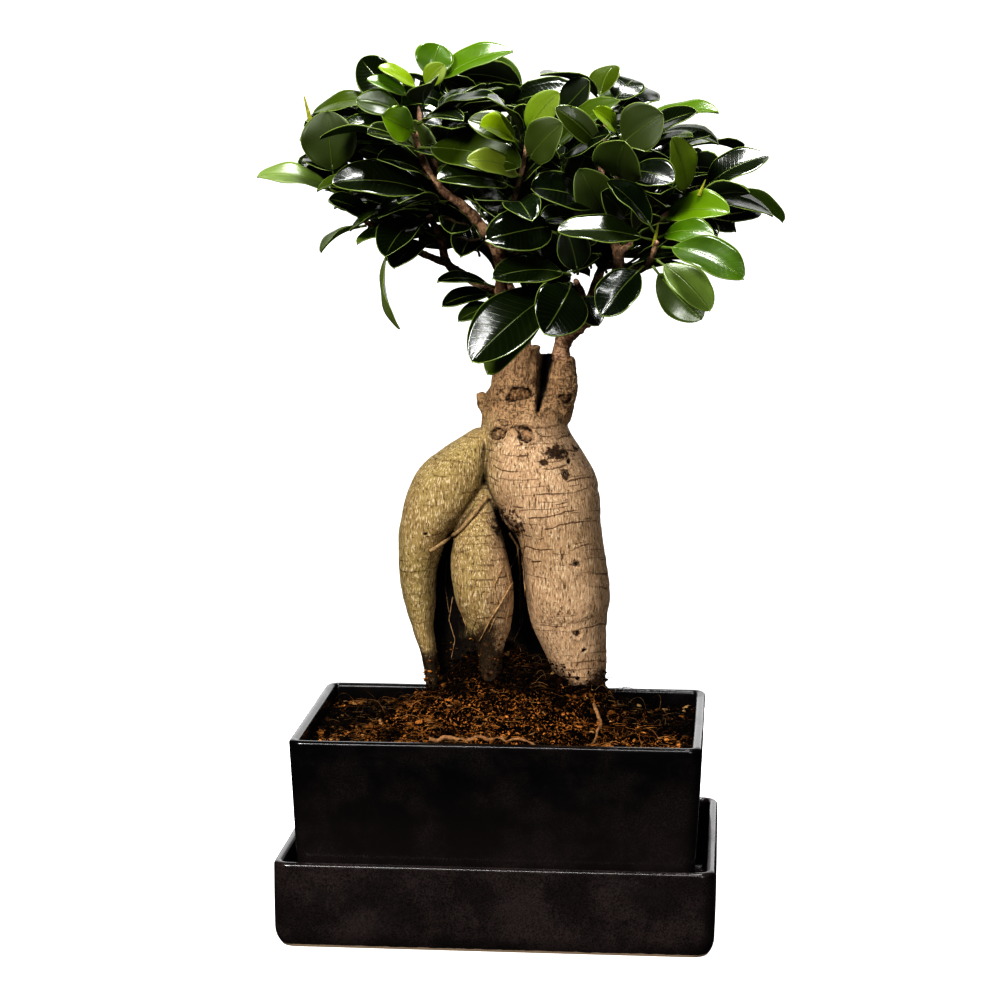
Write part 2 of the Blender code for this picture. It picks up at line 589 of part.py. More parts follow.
def place_leaf(name, base, tip, width, faces, taken):
    """Turn a leaf about its base until it is clear of all that is already there."""
    for side, up in swings():
        along, across, out = leaf_frame(base, tip, faces)
        turn = Matrix.Rotation(math.radians(side), 3, out)
        turn = Matrix.Rotation(math.radians(up), 3, across) @ turn
        for slide in LEAF_SLIDES:
            start = base + along * slide * MM
            end = base + turn @ (tip - base)
            roomy = leaf_bmesh(start, end, width, turn @ Vector(faces), LEAF_ROOM)
            tree = BVHTree.FromBMesh(roomy)
            roomy.free()
            if not any(tree.overlap(other) for other in taken):
                taken.append(tree)
                return leaf_bmesh(start, end, width, turn @ Vector(faces), LEAF_THICKNESS)
    raise RuntimeError("no room for " + name)


def make_leaves(taken):
    for name, (base, tip, width, faces, colour) in LEAVES.items():
        bm = place_leaf(name, Vector(base) * MM, Vector(tip) * MM, width * MM, faces, taken)
        obj = add_object(name, bm)
        obj.data.shade_smooth()
        finish(obj, colour, LEAF_ROUGHNESS)


def main():
    clear_scene()
    make_tray()
    make_pot()
    root = make_root()
    soil = make_soil(make_root_pocket())
    branches = make_branches()
    make_strands(evaluated_tree(root), evaluated_tree(soil))
    make_leaves([evaluated_tree(obj) for obj in [root] + branches])


main()
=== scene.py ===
"""Visual model of a ginseng fig bonsai, built around its fixed solids.

The solids give the pot, the tray, the soil, the swollen root, the twigs and the leaves that carry
the crown. Here each of them is made again with its fine surface, the crown is filled up with
further leaves, and the soil gets its crumbs, chips and fibres. Units are metres, +Z is up and
the front of the pot faces -Y.
"""

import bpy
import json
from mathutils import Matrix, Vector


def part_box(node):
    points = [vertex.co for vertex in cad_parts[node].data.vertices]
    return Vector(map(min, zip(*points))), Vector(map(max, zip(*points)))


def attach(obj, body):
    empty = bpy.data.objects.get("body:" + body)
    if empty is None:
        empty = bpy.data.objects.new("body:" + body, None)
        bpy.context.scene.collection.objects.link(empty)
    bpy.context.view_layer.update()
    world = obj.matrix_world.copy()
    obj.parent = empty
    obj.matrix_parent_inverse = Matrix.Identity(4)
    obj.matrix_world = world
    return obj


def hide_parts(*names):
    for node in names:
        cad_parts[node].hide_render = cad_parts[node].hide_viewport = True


bl_info = {
    "name": "Ginseng fig bonsai",
    "version": (1, 0, 0),
    "blender": (4, 5, 0),
    "location": "View3D > Sidebar > Bonsai",
    "description": "Builds a ginseng fig bonsai in its glazed pot around its fixed solids",
    "category": "Add Mesh",
}

import json
import math
import random

import bmesh
import bpy
import numpy as np
from bpy.props import FloatProperty, FloatVectorProperty, IntProperty, PointerProperty
from mathutils import Matrix, Vector, noise
from mathutils.bvhtree import BVHTree
from mathutils.kdtree import KDTree

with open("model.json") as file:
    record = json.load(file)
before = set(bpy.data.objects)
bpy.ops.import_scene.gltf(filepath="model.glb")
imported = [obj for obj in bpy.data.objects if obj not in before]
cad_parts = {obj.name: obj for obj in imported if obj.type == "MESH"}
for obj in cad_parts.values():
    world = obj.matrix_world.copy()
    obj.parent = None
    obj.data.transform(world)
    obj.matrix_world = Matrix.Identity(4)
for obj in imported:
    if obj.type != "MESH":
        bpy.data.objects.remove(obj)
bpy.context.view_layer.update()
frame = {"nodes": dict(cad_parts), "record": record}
POT_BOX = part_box("pot")

MM = 0.001
BODY = "root"
UP = Vector((0, 0, 1))


# ---------------------------------------------------------------- shader helpers
def feed(tree, place, value):
    """Link a value to a node's input, or set it there."""
    if isinstance(value, Value):
        tree.links.new(value.socket, place)
    elif place.type == "RGBA":
        place.default_value = (*value[:3], 1)
    else:
        place.default_value = value


class Value:
    """A node's output, for use in Python expressions: each operation adds a Math node."""

    def __init__(self, tree, socket):
        self.tree = tree
        self.socket = socket

    def math(self, operation, *others):
        node = self.tree.nodes.new("ShaderNodeMath")
        node.operation = operation
        for place, value in zip(node.inputs, (self, *others)):
            feed(self.tree, place, value)
        return Value(self.tree, node.outputs[0])

    def __add__(self, other):
        return self.math("ADD", other)

    def __sub__(self, other):
        return self.math("SUBTRACT", other)

    def __rsub__(self, other):
        return self.math("MULTIPLY_ADD", -1, other)

    def __mul__(self, other):
        return self.math("MULTIPLY", other)

    __radd__ = __add__
    __rmul__ = __mul__

    def size(self):
        return self.math("ABSOLUTE")

    def sine(self):
        return self.math("SINE")

    def most(self, other):
        return self.math("MAXIMUM", other)

    def step(self, low, high):
        """0 up to low, 1 from high on, and smooth between them; low may be the larger."""
        node = self.tree.nodes.new("ShaderNodeMapRange")
        node.interpolation_type = "SMOOTHSTEP"
        for place, value in zip(node.inputs, (self, low, high, 0, 1)):
            feed(self.tree, place, value)
        return Value(self.tree, node.outputs[0])


class Finish:
    """A material under construction."""

    def __init__(self, name):
        self.material = bpy.data.materials.new(name)
        self.material.use_nodes = True
        self.tree = self.material.node_tree
        self.shader = self.tree.nodes["Principled BSDF"]
        self.place = self.node("ShaderNodeTexCoord", output="Object")

    def node(self, kind, settings=None, inputs=None, output=0):
        """Add a node of a kind: its settings are set first, then its inputs."""
        node = self.tree.nodes.new(kind)
        for key, value in (settings or {}).items():
            setattr(node, key, value)
        for key, value in (inputs or {}).items():
            feed(self.tree, node.inputs[key], value)
        return Value(self.tree, node.outputs[output])

    def stretched(self, x, y, z):
        """Object coordinates with a pattern's repeats per metre along each axis."""
        return self.node("ShaderNodeMapping", inputs={"Vector": self.place, "Scale": (x, y, z)})

    def noise(self, scale, detail=3, roughness=0.55, vector=None):
        return self.node("ShaderNodeTexNoise", inputs={
            "Vector": vector or self.place, "Scale": scale, "Detail": detail,
            "Roughness": roughness})

    def cells(self, vector):
        """How far each place lies from the middle of its cell."""
        return self.node("ShaderNodeTexVoronoi", inputs={"Vector": vector, "Scale": 1},
                         output="Distance")

    def mix(self, factor, first, second):
        return self.node("ShaderNodeMix", {"data_type": "RGBA"},
                         {0: factor, 6: first, 7: second}, 2)

    def along(self, axis):
        """One of the object's coordinates, X, Y or Z, in metres."""
        return self.node("ShaderNodeSeparateXYZ", inputs={0: self.place}, output=axis)

    def attribute(self, name):
        """The three numbers of a vector attribute of the mesh."""
        vector = self.node("ShaderNodeAttribute", {"attribute_name": name}, output="Vector")
        return [self.node("ShaderNodeSeparateXYZ", inputs={0: vector}, output=i)
                for i in range(3)]

    def bump(self, height, distance, strength=1.0):
        return self.node("ShaderNodeBump", inputs={
            "Height": height, "Distance": distance, "Strength": strength})

    def dress(self, **inputs):
        """Set the shader's own inputs: Base_Color stands for Base Color, and so on."""
        for key, value in inputs.items():
            feed(self.tree, self.shader.inputs[key.replace("_", " ")], value)
        return self.material

    def let_light_through(self, share, colour):
        """Mix in a share of light that comes through from behind."""
        through = self.node("ShaderNodeBsdfTranslucent", inputs={"Color": colour})
        front = Value(self.tree, self.shader.outputs[0])
        mixed = self.node("ShaderNodeMixShader", inputs={0: share, 1: front, 2: through})
        output = next(n for n in self.tree.nodes if n.type == "OUTPUT_MATERIAL")
        self.tree.links.new(mixed.socket, output.inputs["Surface"])


# ---------------------------------------------------------------- mesh helpers
def add_object(name, data):
    """A new object in the scene."""
    obj = bpy.data.objects.new(name, data)
    bpy.context.scene.collection.objects.link(obj)
    return obj


def mesh_of(bm, name):
    """Turn a bmesh into a mesh."""
    mesh = bpy.data.meshes.new(name)
    bm.to_mesh(mesh)
    bm.free()
    return mesh


def bmesh_of(mesh):
    """Turn a mesh into a bmesh."""
    bm = bmesh.new()
    bm.from_mesh(mesh)
    bpy.data.meshes.remove(mesh)
    return bm


def evaluated(obj):
    """An object's mesh as its modifiers, or its curve's bevel, leave it."""
    bpy.context.view_layer.update()
    graph = bpy.context.evaluated_depsgraph_get()
    return bpy.data.meshes.new_from_object(obj.evaluated_get(graph))


def piece(name, bm, finishes, stands_for=(), smooth_angle=60):
    """Turn a bmesh into a finished piece that rides with the object."""
    mesh = mesh_of(bm, name)
    mesh.shade_smooth()
    if smooth_angle:
        mesh.set_sharp_from_angle(angle=math.radians(smooth_angle))
    for finish in finishes:
        mesh.materials.append(finish)
    obj = add_object(name, mesh)
    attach(obj, BODY)
    if stands_for:
        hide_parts(*stands_for)
    return obj


class Pile:
    """Many small shapes in one mesh, made a batch at a time to keep each batch's mesh small."""

    def __init__(self, size=40, layers=()):
        self.whole = bmesh.new()
        self.size = size
        self.layers = layers
        self.start_batch()

    def start_batch(self):
        """A new empty batch with the layers that its shapes need."""
        self.batch = bmesh.new()
        for layer in self.layers:
            self.batch.verts.layers.float_vector.new(layer)
        self.count = 0

    def next(self):
        """The batch to make the next shape in."""
        if self.count >= self.size:
            self.add(self.batch)
            self.start_batch()
        self.count += 1
        return self.batch

    def add(self, bm):
        """Move a shape that was made by itself into the pile."""
        mesh = mesh_of(bm, "batch")
        self.whole.from_mesh(mesh)
        bpy.data.meshes.remove(mesh)

    def done(self):
        """The whole pile, with the last batch in it."""
        self.add(self.batch)
        return self.whole


def merged_copy(node):
    """A welded copy of a solid's mesh."""
    bm = bmesh.new()
    bm.from_mesh(frame["nodes"][node].data)
    bmesh.ops.remove_doubles(bm, verts=bm.verts, dist=0.01 * MM)
    return bm


def bevel(bm, edges, offset, segments):
    """Round edges off."""
    bmesh.ops.bevel(bm, geom=edges, offset=offset, segments=segments, profile=0.5,
                    affect="EDGES", material=-1)


def cut_across(bm, axis, places):
    """Cut a mesh into slices, so that its surface can be shaped between the cuts."""
    normal = Vector((0, 0, 0))
    normal[axis] = 1
    for place in places:
        bmesh.ops.bisect_plane(bm, geom=bm.verts[:] + bm.edges[:] + bm.faces[:],
                               plane_co=normal * place, plane_no=normal)


def ring_edges(verts):
    """All the edges at some vertices."""
    return list({edge for vert in verts for edge in vert.link_edges})


def verts_of(made):
    """The vertices in what a bmesh operation made."""
    return [item for item in made["geom"] if isinstance(item, bmesh.types.BMVert)]


def draw_out(bm, edges):
    """Extrude a ring: the new ring's edges and vertices, which still lie on the old one's."""
    drawn = bmesh.ops.extrude_edge_only(bm, edges=edges)
    verts = verts_of(drawn)
    edges = [item for item in drawn["geom"] if isinstance(item, bmesh.types.BMEdge)
             and all(v in verts for v in item.verts)]
    return edges, verts


def shift(moves):
    """Move vertices, each by its own step, after all the steps are known."""
    for vert, move in moves:
        vert.co += move


def unit(value):
    """A value held between 0 and 1."""
    return max(0, min(1, value))


def lengths_along(points):
    """How far along a line each of its points lies."""
    run = [0.0]
    for a, b in zip(points, points[1:]):
        run.append(run[-1] + (b - a).length)
    return run


def between(table, x):
    """Read a chain of straight lines through the points of a table: pairs of x and value."""
    if x <= table[0][0]:
        return table[0][1]
    for (x0, y0), (x1, y1) in zip(table, table[1:]):
        if x <= x1:
            share = (x - x0) / (x1 - x0)
            return y0 + (y1 - y0) * share
    return table[-1][1]


def rod(points, diameters, sides, steps):
    """A round rod on a smooth curve through points, as a closed mesh, and points on its middle."""
    curve = bpy.data.curves.new("rod", "CURVE")
    curve.dimensions = "3D"
    curve.bevel_depth = 1
    curve.bevel_resolution = sides
    curve.use_fill_caps = True
    curve.resolution_u = steps
    spline = curve.splines.new("BEZIER")
    spline.bezier_points.add(len(points) - 1)
    for index, (knot, place) in enumerate(zip(spline.bezier_points, points)):
        share = index / (len(points) - 1)
        knot.co = place
        knot.handle_left_type = "AUTO"
        knot.handle_right_type = "AUTO"
        knot.radius = (diameters[0] + (diameters[1] - diameters[0]) * share) / 2
    obj = add_object("rod", curve)
    mesh = evaluated(obj)
    curve.bevel_depth = 0
    line = evaluated(obj)
    middle = [vert.co.copy() for vert in line.vertices]
    bpy.data.objects.remove(obj)
    bpy.data.curves.remove(curve)
    bpy.data.meshes.remove(line)
    return mesh, middle


# ---------------------------------------------------------------- settings
def colour_setting(name, description, colour):
    return FloatVectorProperty(name=name, description=description, subtype="COLOR",
                               default=colour)


def length_setting(name, description, length):
    return FloatProperty(name=name, description=description, unit="LENGTH", default=length)


def angle_setting(name, description, degrees):
    return FloatProperty(name=name, description=description, subtype="ANGLE",
                         default=math.radians(degrees))


class CeramicSettings(bpy.types.PropertyGroup):
    glaze: colour_setting("Glaze", "Colour of the glaze", (0.0045, 0.0038, 0.0038))
    thin_glaze: colour_setting("Thin glaze", "Colour where the glaze is thin", (0.050, 0.036, 0.034))
    clay: colour_setting("Bare clay", "Colour of the foot, which has no glaze", (0.60, 0.44, 0.30))
    unevenness: length_setting("Unevenness", "How far the walls wander from flat", 0.35 * MM)


class SoilSettings(bpy.types.PropertyGroup):
    earth: colour_setting("Earth", "Colour of the damp earth", (0.0022, 0.0012, 0.0007))
    crumb: colour_setting("Crumbs", "Colour of the driest crumbs", (0.86, 0.36, 0.085))
    crumbs: IntProperty(name="Crumbs", description="How many crumbs lie on it", default=8200)
    clinging: IntProperty(name="Clinging", description="Crumbs stuck to the root", default=1300)
    fibres: IntProperty(name="Fibres", description="How many fibres lie on it", default=1500)


class RootSettings(bpy.types.PropertyGroup):
    bark: colour_setting("Bark", "Colour of the smooth bark", (0.64, 0.42, 0.25))
    green_bark: colour_setting("Green bark", "Colour of the left legs", (0.44, 0.33, 0.125))
    crack: colour_setting("Cracks", "Colour of the cracks across the bark", (0.11, 0.045, 0.015))
    old_bark: colour_setting("Old bark", "Colour of the rough bark on the stubs", (0.11, 0.052, 0.022))


class TwigSettings(bpy.types.PropertyGroup):
    bark: colour_setting("Bark", "Colour of the twigs", (0.17, 0.090, 0.046))
    knobs: length_setting("Knobs", "How far the leaf scars stand out", 0.55 * MM)


class LeafSettings(bpy.types.PropertyGroup):
    dark: colour_setting("Dark", "Colour of the old leaves", (0.0030, 0.0070, 0.0014))
    olive: colour_setting("Olive", "Colour of the middling leaves", (0.028, 0.050, 0.0018))
    bright: colour_setting("Bright", "Colour of the fresh leaves", (0.050, 0.104, 0.0018))
    pale: colour_setting("Pale", "Colour of the leaves seen against the light", (0.10, 0.145, 0.028))
    yellow: colour_setting("Yellow", "Colour of the youngest leaves", (0.155, 0.225, 0.003))
    rim: colour_setting("Rim", "Colour of the rim and the midrib", (0.30, 0.40, 0.085))
    thickness: length_setting("Thickness", "Thickness of a blade", 0.45 * MM)
    fill: IntProperty(name="Fill", description="How many further leaves to try", default=2600)


class StageSettings(bpy.types.PropertyGroup):
    azimuth: angle_setting("Azimuth", "Where the camera stands round the pot", 5.1)
    elevation: angle_setting("Elevation", "How far the camera looks down", 8.75)
    distance: length_setting("Distance", "From the camera to its target", 1344 * MM)
    lens: FloatProperty(name="Lens", description="Focal length in millimetres", default=97.2)
    floor: colour_setting("Floor", "Colour of the floor", (0.55, 0.55, 0.55))


# ---------------------------------------------------------------- finishes
def glaze_finish(name, settings, bare_below, veil):
    """Glossy dark glaze, thin and brown here and there, with bare clay below a height."""
    f = Finish(name)
    clouds = f.noise(38, 5, 0.6)
    grain = f.noise(1500, 2, 0.7)
    # The glaze is made lighter towards the bottom.
    low = f.along("Z").step(94 * MM, 40 * MM) * 0.22
    thin = clouds.step(0.40, 0.66) * (0.25 + grain.step(0.42, 0.66) * 0.75)
    # Painted reflection: the last argument adds lighter thin-glaze colour and speckle in place of the
    # floor's reflection; the rest is the glaze's own mottling.
    thin = thin * (0.45 + veil) + low * (1 - veil) + veil * grain.step(0.30, 0.60) * 0.6
    colour = f.mix(thin, settings.glaze, settings.thin_glaze)
    height = f.along("Z")
    ragged = height + f.noise(160, 3) * (1.2 * MM)
    bare = ragged.step(bare_below + 0.9 * MM, bare_below + 0.5 * MM)
    colour = f.mix(bare, colour, settings.clay)
    smears = f.noise(24, 4, 0.6, f.stretched(1, 1, 2.6))
    rough = 0.16 + smears.step(0.45, 0.75) * 0.14 + grain * 0.06 + bare * 0.6
    ripple = f.bump(clouds * 0.8 + grain * 0.06, 0.5 * MM, 0.35)
    return f.dress(Base_Color=colour, Roughness=rough, Normal=ripple)


# Fixed colours of the bark and its damage, of the painted shade in its creases, and of the twigs and
# the earth.
LIGHT_BROWN = (0.36, 0.22, 0.10)
MID_BROWN = (0.26, 0.15, 0.07)
GRAIN_BROWN = (0.12, 0.065, 0.026)
FLECK_BROWN = (0.12, 0.06, 0.025)
CREAM = (0.90, 0.72, 0.48)
DRY_RIND = (0.66, 0.42, 0.22)
DEEP_RIND = (0.14, 0.065, 0.028)
RIND_GAP = (0.020, 0.009, 0.004)
WOOD_DARK = (0.07, 0.028, 0.010)
WOOD_PALE = (0.40, 0.22, 0.09)
CHAR = (0.010, 0.005, 0.003)
SCAB = (0.085, 0.036, 0.014)
DRIED_DIRT = (0.14, 0.055, 0.018)
PAINTED_CREASE_SHADE = (0.006, 0.003, 0.002)
CORK = (0.46, 0.28, 0.16)
TWIG_GAP = (0.045, 0.018, 0.009)
EARTH_LUMP = (0.028, 0.011, 0.004)
PALE_CHIP = (0.66, 0.40, 0.17)


def root_finish(name, settings):
    """Pale bark with a fine upright grain, brown cracks across it, rough old bark above and painted
    shade in its creases.
    """
    f = Finish(name)
    damage, wet, old = f.attribute("marks")
    crease_shade, wood, _ = f.attribute("shade")
    broad = f.noise(30, 4, 0.6)
    patches = f.noise(95, 4, 0.65)
    grain = f.noise(1, 4, 0.7, f.stretched(1000, 1000, 210))
    flecks = f.noise(1, 2, 0.6, f.stretched(1500, 1500, 330))
    side = f.along("X").step(4 * MM, -14 * MM)
    colour = f.mix(side, settings.bark, settings.green_bark)
    colour = f.mix(broad.step(0.40, 0.70) * 0.45, colour, LIGHT_BROWN)
    colour = f.mix(patches.step(0.50, 0.75) * 0.5, colour, MID_BROWN)
    colour = f.mix(grain.step(0.52, 0.66) * 0.95, colour, GRAIN_BROWN)
    colour = f.mix(flecks.step(0.54, 0.64) * 0.7, colour, CREAM)
    colour = f.mix(flecks.step(0.42, 0.33) * 0.6, colour, FLECK_BROWN)
    crack = cross_cracks(f, 6.2 * MM, 0.0, 0.965) + cross_cracks(f, 3.9 * MM, 0.31, 0.972) * 0.6
    crack = crack.math("MINIMUM", 1) * (1 - side * 0.45)
    colour = f.mix(crack * 0.72, colour, settings.crack)
    pores = f.cells(f.stretched(260, 260, 520))
    pore = pores.step(0.20, 0.10) * f.noise(90, 1).step(0.5, 0.6)
    colour = f.mix(pore * 0.7, colour, settings.crack)
    scales = f.noise(1, 5, 0.75, f.stretched(900, 900, 330))
    shreds = f.noise(1, 5, 0.75, f.stretched(260, 260, 900))
    rind = f.mix(scales.step(0.38, 0.56), settings.old_bark, DRY_RIND)
    rind = f.mix(broad.step(0.45, 0.62) * 0.4, rind, DEEP_RIND)
    rind = f.mix(shreds.step(0.54, 0.62) * 0.8, rind, RIND_GAP)
    colour = f.mix(old * 0.85, colour, rind)
    grained = f.mix(scales.step(0.45, 0.6), WOOD_DARK, WOOD_PALE)
    colour = f.mix(wood * 0.9, colour, grained)
    ragged = f.noise(520, 4, 0.7)
    frayed = f.noise(230, 5, 0.7)
    burnt = (damage + (ragged - 0.5) * 1.1 + (frayed - 0.5) * 1.8).step(0.34, 0.66)
    burnt = burnt * damage.step(0.04, 0.16)
    burn = f.mix(ragged.step(0.46, 0.60), CHAR, SCAB)
    colour = f.mix(burnt * 0.95, colour, burn)
    earthy = (wet + (ragged - 0.5) * 1.1).step(0.25, 0.75)
    dirt = f.mix(ragged.step(0.5, 0.7), CHAR, DRIED_DIRT)
    colour = f.mix(earthy * 0.93, colour, dirt)
    # Painted shade: creases, the back between the legs and the slot between the stubs are darkened
    # here.
    colour = f.mix(crease_shade, colour, PAINTED_CREASE_SHADE)
    height = (grain * 0.5 + flecks * 0.35 - crack * 0.7 - pore * 0.3 + patches * 0.6
              + (scales * 1.6 + shreds) * old - burnt * 0.8)
    bark = f.bump(height, 0.8 * MM, 1.0)
    rough = 0.60 + grain * 0.25
    return f.dress(Base_Color=colour, Roughness=rough, Normal=bark, Specular_IOR_Level=0.2)


def cross_cracks(f, pitch, shift, thin):
    """Short level cracks, about one pitch apart, that come and go round a limb."""
    drift = f.noise(22, 2, 0.5) * 3.4 + f.noise(240, 2, 0.6) * 0.30
    phase = (f.along("Z") * (1 / pitch) + drift + shift) * math.tau
    line = phase.sine().step(thin - 0.05, thin + 0.02)
    place = f.node("ShaderNodeMapping", inputs={
        "Vector": f.place, "Scale": (52, 52, 190), "Location": (shift * 40, 0, 0)})
    gaps = f.noise(1, 2, 0.55, place).step(0.50, 0.57)
    spread = f.noise(26, 1).step(0.36, 0.52)
    return line * gaps * spread


def twig_finish(name, settings):
    """Knobbly brown bark with pale corky patches."""
    f = Finish(name)
    broad = f.noise(210, 4, 0.65)
    fine = f.noise(1000, 3, 0.6)
    colour = f.mix(broad.step(0.46, 0.60), settings.bark, CORK)
    colour = f.mix(fine.step(0.50, 0.64) * 0.8, colour, TWIG_GAP)
    bark = f.bump(broad * 0.8 + fine * 0.5, 0.7 * MM, 1.0)
    return f.dress(Base_Color=colour, Roughness=0.6 + fine * 0.3, Normal=bark)


def strand_finish(name, colour, shadow):
    """Fibrous skin of a thin root, or of a bud."""
    f = Finish(name)
    fine = f.noise(700, 4, 0.65)
    shade = f.mix(fine.step(0.35, 0.7), shadow, colour)
    return f.dress(Base_Color=shade, Roughness=0.7 + fine * 0.2,
                   Normal=f.bump(fine, 0.3 * MM, 0.8))


def earth_finish(name, settings):
    """Damp dark earth with dry brown specks."""
    f = Finish(name)
    broad = f.noise(150, 5, 0.65)
    fine = f.noise(800, 4, 0.75)
    patch = dry_patches_and_painted_light(f)
    colour = f.mix(broad.step(0.50, 0.70) * 0.6, settings.earth, EARTH_LUMP)
    # The dry specks are partly real dry patches and partly painted light towards the front.
    colour = f.mix(fine.step(0.55, 0.60) * patch * 0.9, colour, settings.crumb)
    return f.dress(Base_Color=colour, Roughness=0.85 + fine * 0.15, Specular_IOR_Level=0.04,
                   Normal=f.bump(broad + fine * 0.6, 1.6 * MM, 1.0))


def dry_patches_and_painted_light(f):
    """Where the soil has dried, mostly in front of the root and in patches elsewhere; the bias to the
    front is painted light.
    """
    # Painted light: the soil is made paler and rustier towards the front, where it is lit.
    front = f.along("Y").step(10 * MM, -40 * MM)
    return (f.noise(34, 4, 0.65) + front * 0.16 - 0.09).step(0.44, 0.58) * 0.94 + 0.06


def crumb_finish(name, settings):
    """Crumbs from near black to rusty brown; each one's dryness is in the mesh."""
    f = Finish(name)
    dry, pale, _ = f.attribute("crumb")
    fine = f.noise(1100, 4, 0.7)
    # The crumbs' rust colour also carries the painted light towards the front.
    colour = f.mix(dry * dry_patches_and_painted_light(f), settings.earth, settings.crumb)
    colour = f.mix(pale * 0.7, colour, PALE_CHIP)
    colour = f.mix(fine.step(0.50, 0.62) * 0.8, colour, settings.earth)
    return f.dress(Base_Color=colour, Roughness=0.75 + fine * 0.2, Specular_IOR_Level=0.06,
                   Normal=f.bump(fine, 0.5 * MM, 1.0))


def leaf_finish(name, colour, rim, gloss, through, below):
    """A leaf: glossy above and duller below, with a pale midrib, fine side veins and a rim."""
    f = Finish(name)
    along, across, half = f.attribute("blade")
    under, chance, age = f.attribute("tone")
    off = across.size()
    wide = half.most(0.5)
    midrib = (off * wide).step(0.50, 0.10) * along.step(0.99, 0.80)
    edge = ((1 - off) * wide).step(0.55, 0.12)
    chevron = (along * 17 - off * 2.4) * math.tau
    veins = chevron.sine().step(0.80, 1.0) * (1 - edge)
    clouds = f.noise(60, 3, 0.6)
    tint = clouds * 0.6 + chance * 0.4
    shade = f.mix(tint.step(0.25, 0.75), tuple(c * 0.55 for c in colour),
                  tuple(min(1, c * 1.5) for c in colour))
    shade = f.mix(age * 0.6, shade, (colour[0] * 3 + 0.004, colour[1] * 2.4 + 0.004, colour[2]))
    shade = f.mix(under * 0.7, shade, below)
    pale = tuple(c * 0.6 + r * 0.4 for c, r in zip(colour, rim))
    shade = f.mix(veins * 0.06, shade, pale)
    shade = f.mix(midrib * 0.7, shade, pale)
    shade = f.mix(edge * 0.62, shade, rim)
    ribs = midrib + veins * 0.04 + f.noise(420, 2) * 0.08 + clouds * 0.8
    relief = f.bump(ribs, 0.35 * MM, 0.8)
    rough = gloss + under * 0.25 + clouds * 0.07 + edge * 0.1
    f.dress(Base_Color=shade, Roughness=rough, Normal=relief)
    glow = f.mix(edge.most(midrib) * 0.7, tuple(min(1, c * 3.0 + 0.004) for c in colour), rim)
    f.let_light_through(through, glow)
    return f.material


# ---------------------------------------------------------------- pot and tray
TRAY_WALL = 4.5 * MM
POT_WALL = 4.8 * MM
TRAY_FLOOR = 5 * MM
POT_FLOOR = 6 * MM
POT_TAPER = 0.045
TRAY_CORNER = 8 * MM
TRAY_BARE_RIM = 1.3 * MM  # the glaze stops this far above the table
POT_CORNER = 7 * MM
FOOT_INSET = 3 * MM
FOOT_RISE = 9 * MM
LIP = 2.1 * MM
DRAIN_HOLE = 14 * MM
DRAIN_SPACING = 90 * MM
WALL_SLICES = (12 * MM, 12 * MM, 8 * MM)  # how finely the walls are cut in X, Y and Z
FOOT_CUTS = (0.06, 0.15, 0.3, 0.5, 0.75, 1)  # shares of the tray's curved foot


def sharp_edges_at(bm, level):
    """The edges that lie at a height and turn enough to need rounding."""
    return [e for e in bm.edges if all(abs(v.co.z - level) < 0.1 * MM for v in e.verts)
            and e.calc_face_angle(0) > math.radians(30)]


def open_box(low, high, wall, floor, corner, taper):
    """An open box between two corners, with rounded uprights, leaning sides and a soft lip."""
    length, depth, height = high - low
    bm = bmesh.new()
    bmesh.ops.create_cube(bm, size=1)
    for vert in bm.verts:
        vert.co.z = (vert.co.z + 0.5) * height
        lean = 2 * taper * (height - vert.co.z)
        vert.co.x *= length - lean
        vert.co.y *= depth - lean
    upright = [e for e in bm.edges if abs(e.verts[0].co.z - e.verts[1].co.z) > height / 2]
    bevel(bm, upright, corner, 10)
    top = max(bm.faces, key=lambda face: face.calc_center_median().z)
    bmesh.ops.inset_individual(bm, faces=[top], thickness=wall, use_even_offset=True)
    hollow = bmesh.ops.extrude_face_region(bm, geom=[top])
    bmesh.ops.delete(bm, geom=[top], context="FACES_ONLY")
    drop = height - floor
    for vert in verts_of(hollow):
        vert.co.x -= math.copysign(taper * drop, vert.co.x)
        vert.co.y -= math.copysign(taper * drop, vert.co.y)
        vert.co.z -= drop
    bm.normal_update()
    for level in (height, floor):
        bevel(bm, sharp_edges_at(bm, level), LIP, 5)
    bmesh.ops.translate(bm, vec=(0, 0, low.z), verts=bm.verts)
    return bm


def warp_walls(bm, low, high, amount, seed):
    """Let fired walls wander a little from flat, and the lip a little from level."""
    for vert in bm.verts:
        place = vert.co * 16 + Vector((seed, 0, 0))
        share = (vert.co.z - low.z) / (high.z - low.z)
        sideways = noise.noise(place) * amount * min(1, share * 2)
        reach_x = abs(vert.co.x) / high.x
        reach_y = abs(vert.co.y) / high.y
        bow = amount * 0.8 * math.sin(math.pi * share)
        if reach_x > 0.9:
            vert.co.x += math.copysign(sideways - bow * (1 - reach_y ** 2), vert.co.x)
        if reach_y > 0.9:
            vert.co.y += math.copysign(sideways - bow * (1 - reach_x ** 2), vert.co.y)
        vert.co.z += noise.noise(place + Vector((0, 9, 0))) * amount * 0.7 * share ** 4


def steps_between(low, high, pitch):
    """Even steps from low to high, both left out."""
    count = max(2, round((high - low) / pitch))
    return [low + (high - low) * index / count for index in range(1, count)]


def finish_ceramic(bm, name, low, high, settings, seed, bare_below, veil):
    """Warp and glaze a box; the last argument is how much lighter thin-glaze colour is laid on, partly
    the glaze's own mottling and partly a painted reflection of the floor.
    """
    for axis, pitch in enumerate(WALL_SLICES):
        cut_across(bm, axis, steps_between(low[axis], high[axis], pitch))
    warp_walls(bm, low, high, settings.unevenness, seed)
    bmesh.ops.recalc_face_normals(bm, faces=bm.faces)
    glaze = glaze_finish(name + "_glaze", settings, bare_below, veil)
    obj = piece(name + "_fired", bm, [glaze], [name], 40)
    even = obj.modifiers.new("even_shine", "WEIGHTED_NORMAL")
    even.keep_sharp = True
    return obj


